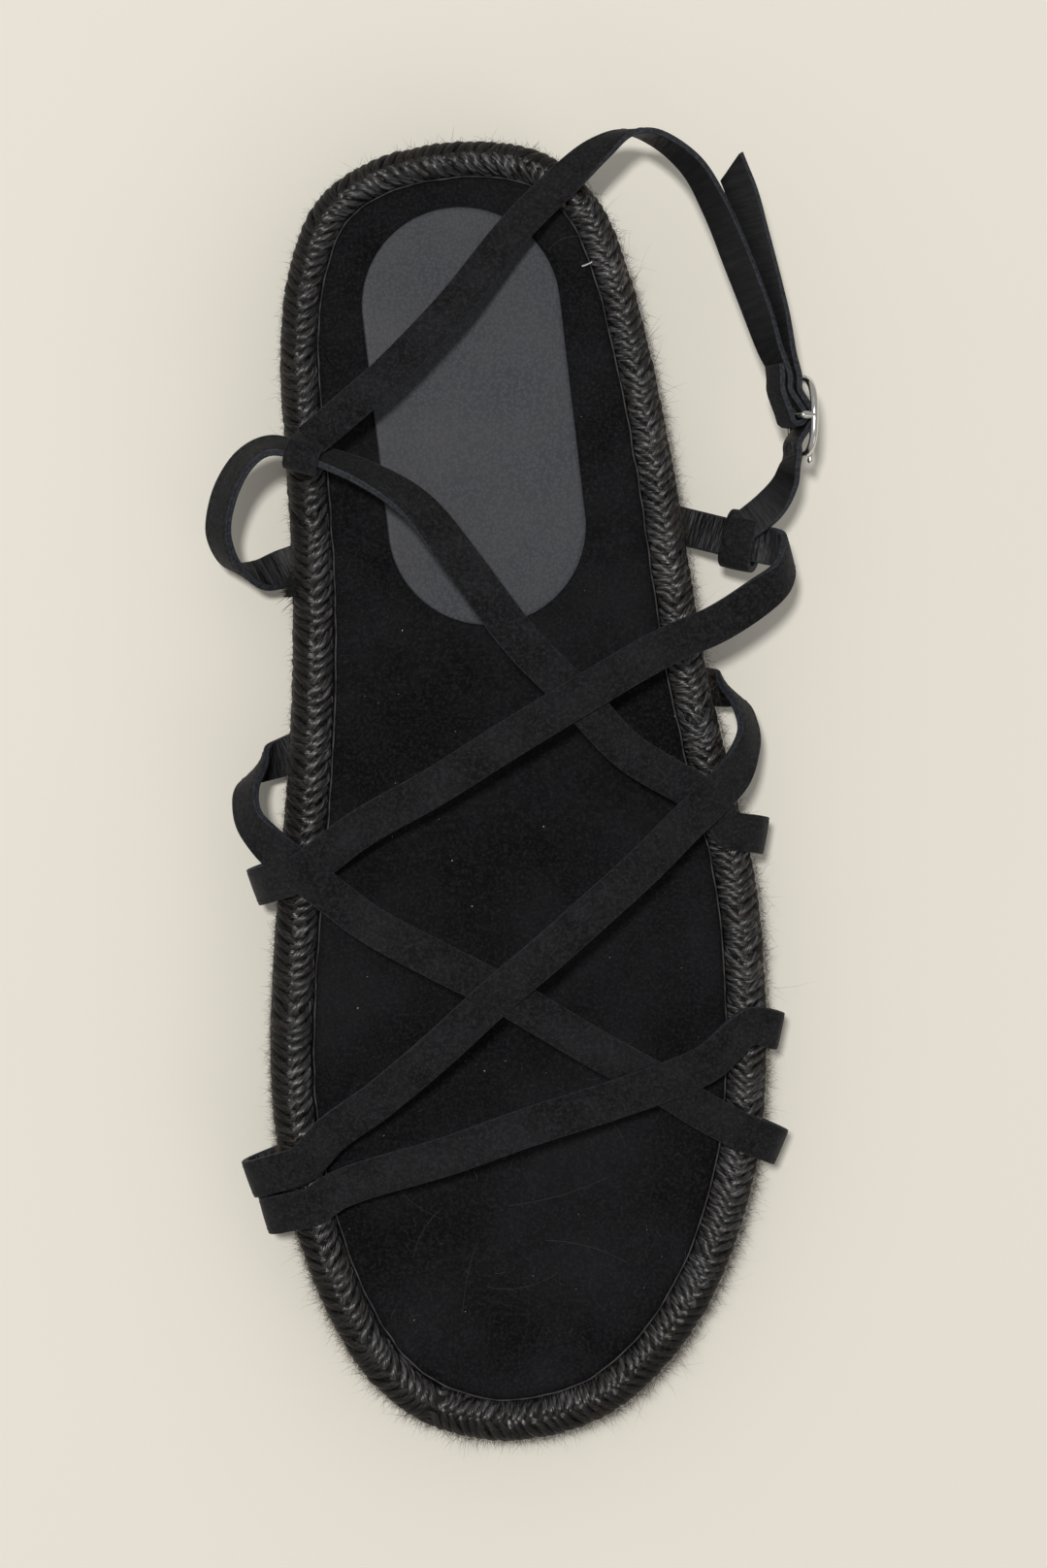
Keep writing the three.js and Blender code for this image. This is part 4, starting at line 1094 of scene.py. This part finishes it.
# %% [markdown]
# ## Holes
# Four round holes are punched in the holed strap, and the prong goes through the second. Short rods are made
# where the holes are, and a Boolean takes them out of the band.

# %% Punch the holes
def punch(target, rods):
    tool = roll("punch", rods, [cut_edge], fill=True)
    cut = target.modifiers.new("holes", "BOOLEAN")
    cut.operation, cut.object, cut.solver = "DIFFERENCE", tool, "EXACT"
    bpy.context.view_layer.update()
    done = bpy.data.meshes.new_from_object(target.evaluated_get(bpy.context.evaluated_depsgraph_get()))
    target.modifiers.clear()
    old, target.data = target.data, done
    bpy.data.meshes.remove(old)
    bpy.data.objects.remove(tool)
    return len(done.polygons)


hole_pitch, hole_width, rod_reach = 7, 2.0, 1.6
rods = []
for number in range(-1, 3):
    spot = near_buckle + round(number * hole_pitch / holed_step)
    middle, out = holed_frames["place"][spot], holed_frames["face"][spot]
    rods.append(wire_tube([middle - out * rod_reach, middle, middle + out * rod_reach], hole_width, 20, 0.8))
print("holed band:", punch(holed_band, rods), "faces")

# %% [markdown]
# ## Stitches
# Each upper strap is sewn along both edges, a millimetre in. A stitch is a short bead of thread, half sunk in
# the suede. All the beads of a strap are rolled from one grid.

# %% Sew the straps
def stitches(frames, width, thickness, pitch=2.0, inset=1.05):
    beads = []
    total = frames["length"][-1]
    for way in (-1, 1):
        for start in np.arange(6, total - 6, pitch):
            spots = start + np.array([0, 0.12, 0.4, 0.8, 1.1, 1.22])
            sizes = np.array([0.02, 0.8, 1, 1, 0.8, 0.02]) * 0.105
            parts = {name: np.stack([np.interp(spots, frames["length"], frames[name][:, axis]) for axis in range(3)],
                                    axis=1) for name in ("place", "width", "face")}
            path = (parts["place"] + parts["width"] * way * (width / 2 - inset)
                    + parts["face"] * (thickness / 2 + 0.04))
            beads.append(path[:, None] + sizes[:, None, None] * circles(full_turn(5), parts["width"], parts["face"]))
    return beads


beads = [bead for frames in strap_frames.values() for bead in stitches(frames, strap_width, visual_thickness)]
sewing = roll("strap_stitches", beads, [thread_finish])
dress(sewing, slot="upper_straps")
ankle_beads = [bead for frames in (ankle_frames, holed_frames)
               for bead in stitches(frames, ankle_width, ankle_visual_thickness, inset=0.95)]
ankle_sewing = roll("ankle_stitches", ankle_beads, [thread_finish])
dress(ankle_sewing, slot="ankle_strap")

# %% [markdown]
# ## Stray fibres
# Jute sheds fine hairs. They stand out from the rope's outer side most of all, and blur its outline. Muted brown
# ones come from the sole's side towards the toe, and darker ones along the rest of it. Each hair is a thin bent
# tube that narrows to a point.

# %% Fuzz
def hair(root, way, length, droop, width, rings=4):
    steps = np.linspace(0, 1, rings)
    sideways = np.array([chance.gauss(0, 1) for _ in range(3)])
    path = root + (steps[:, None] * way + steps[:, None] ** 2 * sideways * droop) * length
    return tube_round(path, width * np.interp(steps, [0, 0.2, 0.7, 1], [0.4, 1, 0.75, 0.04]), 3, closed=False)


def shed(count, length_of, width_of, spread_out):
    """Hairs that start on the outer half of the edging's crest and on its shoulder, most at the shoe's outer side."""
    hairs = []
    while len(hairs) < count:
        index = chance.randrange(round_steps)
        outer_side = ease(walk[index, 0], 0, 30)
        if chance.random() > 0.4 + 0.6 * outer_side:
            continue
        turn = min(1.5, max(-0.9, chance.gauss(0.75, 0.6)))
        root = walk[index] + walk_in[index] * max(0.15, 4.4 - 4.5 * math.sin(turn)) * edge_scale[index]
        root = root + np.array([0, 0, edging_base(walk_along[index]) + 2.8 + 4.2 * math.cos(turn)])
        run = np.cross(walk_in[index], [0, 0, 1])
        way = (-walk_in[index] * math.sin(turn) + np.array([0, 0, math.cos(turn)])
               + run * chance.gauss(0, spread_out))
        length = length_of() * (1 + 0.7 * outer_side)
        hairs.append(hair(root, way / np.linalg.norm(way), length, 0.45, width_of()))
    return hairs


def shed_low(count, shortest, mean, width_of, at_toe):
    """Hairs from the side of the sole, at the toe or else along the rest of it."""
    hairs = []
    while len(hairs) < count:
        index = chance.randrange(round_steps)
        toe_share = ease(-walk[index, 1], -20, 125)
        if chance.random() > (toe_share if at_toe else 1 - toe_share):
            continue
        low, high = rope_base(walk_along[index]), edging_base(walk_along[index]) + 3.5
        root = walk[index] + walk_in[index] * 0.45
        root[2] = low + chance.random() * (high - low)
        toward_toe = ease(-walk[index, 1] + 0.6 * walk[index, 0], 20, 120)
        way = -walk_in[index] + np.array([chance.gauss(0, 0.6) for _ in range(3)])
        length = (shortest + chance.expovariate(1 / mean)) * (1 + 0.9 * toward_toe)
        hairs.append(hair(root, way / np.linalg.norm(way), min(length, 2.2), 0.8, width_of(), rings=3))
    return hairs


def nap(count):
    """Short loose fibres that lie on the edging's crest, in all directions."""
    hairs = []
    for _ in range(count):
        index = chance.randrange(round_steps)
        turn = min(1.2, max(-1.0, chance.gauss(0, 0.7)))
        root = walk[index] + walk_in[index] * (4.6 - 4.3 * math.sin(turn)) * edge_scale[index]
        root = root + np.array([0, 0, edging_base(walk_along[index]) + 2.7 + 4.2 * math.cos(turn)])
        run = np.cross(walk_in[index], [0, 0, 1])
        side = -walk_in[index] * math.cos(turn) - np.array([0, 0, math.sin(turn)])
        swing = chance.uniform(0, 2 * math.pi)
        way = run * math.cos(swing) + side * math.sin(swing) + np.array([0, 0, chance.uniform(-0.1, 0.25)])
        hairs.append(hair(root, way, chance.uniform(0.5, 2.4), 0.3, chance.uniform(0.02, 0.042)))
    return hairs


nap_hairs, short_hairs, long_hairs, toe_hairs, side_hairs = 5200, 8200, 620, 9500, 5500
loose = roll("rope_nap", nap(nap_hairs), [fuzz_finish])
dress(loose, slot="rope_edging")
short_fuzz = shed(short_hairs, lambda: 0.35 + chance.expovariate(1 / 0.38), lambda: chance.uniform(0.018, 0.040), 1.1)
long_fuzz = shed(long_hairs, lambda: min(3.4, 1.0 + chance.expovariate(1)), lambda: chance.uniform(0.014, 0.024), 1.4)
fuzz = roll("rope_fuzz", short_fuzz + long_fuzz, [fuzz_finish])
dress(fuzz, slot="rope_edging")
toe_fuzz = shed_low(toe_hairs, 0.6, 0.28, lambda: chance.uniform(0.020, 0.038), True)
low_fuzz = roll("sole_fuzz", toe_fuzz, [tan_fuzz])
dress(low_fuzz, slot="jute_sole")
rest_fuzz = shed_low(side_hairs, 0.4, 0.25, lambda: chance.uniform(0.020, 0.040), False)
side_fuzz = roll("side_fuzz", rest_fuzz, [fuzz_finish])
dress(side_fuzz, slot="jute_sole")

# %% [markdown]
# ### Tuft and lint
# At the inner side the rope's two ends meet in a short frayed tuft. A white thread end lies by the rope at the
# heel, and dust and a few fine fibres lie on the footbed, as in the photo.

# %% Tuft and lint
tuft_step = nearest_step(-47, 41)
tuft_root = (walk[tuft_step] + walk_in[tuft_step] * 0.7
             + np.array([0, 0, edging_base(walk_along[tuft_step]) + 5.2]))
tuft_run = np.cross(walk_in[tuft_step], [0, 0, 1])
tuft_count, tuft_hairs = 190, []
for _ in range(tuft_count):
    root = tuft_root + tuft_run * chance.gauss(0, 0.9) - np.array([0, 0, abs(chance.gauss(0, 1.2))])
    way = -walk_in[tuft_step] + tuft_run * chance.gauss(-0.25, 0.45) + np.array([0, 0, chance.gauss(-0.1, 0.3)])
    tuft_hairs.append(hair(root, way, 1.6 + abs(chance.gauss(0, 0.6)), 0.3, chance.uniform(0.08, 0.15)))
tuft = roll("rope_tuft", tuft_hairs, [core_finish])
dress(tuft, slot="rope_edging")


def fibre(x, y, heading, length, bend, width):
    """A thin fibre that lies on the footbed, from x, y in mm, in an arc."""
    steps = 13
    turned = math.radians(heading) + np.radians(bend) * np.linspace(0, 1, steps + 1)
    reach = length / steps
    path = np.stack([x + np.cumsum(np.cos(turned)) * reach, y + np.cumsum(np.sin(turned)) * reach, 0 * turned],
                    axis=1)
    path[:, 2] = footbed_top(along_of(path[:, 1])) + width * 0.6
    return tube_round(path, width * np.append(np.ones(steps), 0.2), 4, closed=False)


thread_end = roll("lint_thread", [fibre(12.4, 107.4, 12, 3.4, 30, 0.16)], [white_lint])
dress(thread_end, slot="insole")
toe_fibres = [fibre(*place) for place in (
    (5.5, 110.0, 60, 8, -70, 0.03),
    (-4, -85, 5, 22, 20, 0.03), (-22, -96, 80, 12, -40, 0.028), (-8, -101, -15, 16, 50, 0.028),
    (4, -92, 0, 18, -30, 0.028), (-27, -78, -60, 14, 40, 0.025), (-12, -108, 85, 15, -12, 0.025),
    (22, -74, 100, 11, 60, 0.025), (-30, -60, -85, 9, 30, 0.025))]
for _ in range(70):
    toe_fibres.append(fibre(chance.uniform(-34, 34), chance.uniform(-112, -50), chance.uniform(0, 360),
                            chance.uniform(0.5, 2.5), chance.uniform(-80, 80), chance.uniform(0.015, 0.03)))
lint = roll("lint_fibres", toe_fibres, [grey_lint])
dress(lint, slot="insole")
specks = [fibre(x, y, chance.uniform(0, 360), 0.3, 40, 0.07) for x, y in (
    (-13.9, -14.3), (4.8, -7.3), (39.9, -9.5), (-33.3, -44.3), (-7.3, -57.1), (-9.9, -23.4), (-24, 33), (-2, 62))]
for _ in range(60):
    specks.append(fibre(chance.uniform(-36, 38), chance.uniform(-110, 80), chance.uniform(0, 360), 0.2, 40,
                        chance.uniform(0.02, 0.045)))
dust = roll("lint_dust", specks, [white_lint])
dress(dust, slot="insole")

# %% [markdown]
# ## Floor
# A wide sheet of paper, which is not part of the shoe.

# %% Floor
sheet = bmesh.new()
bmesh.ops.create_grid(sheet, x_segments=1, y_segments=1, size=3)
floor = finish_piece("floor", sheet, [floor_finish])
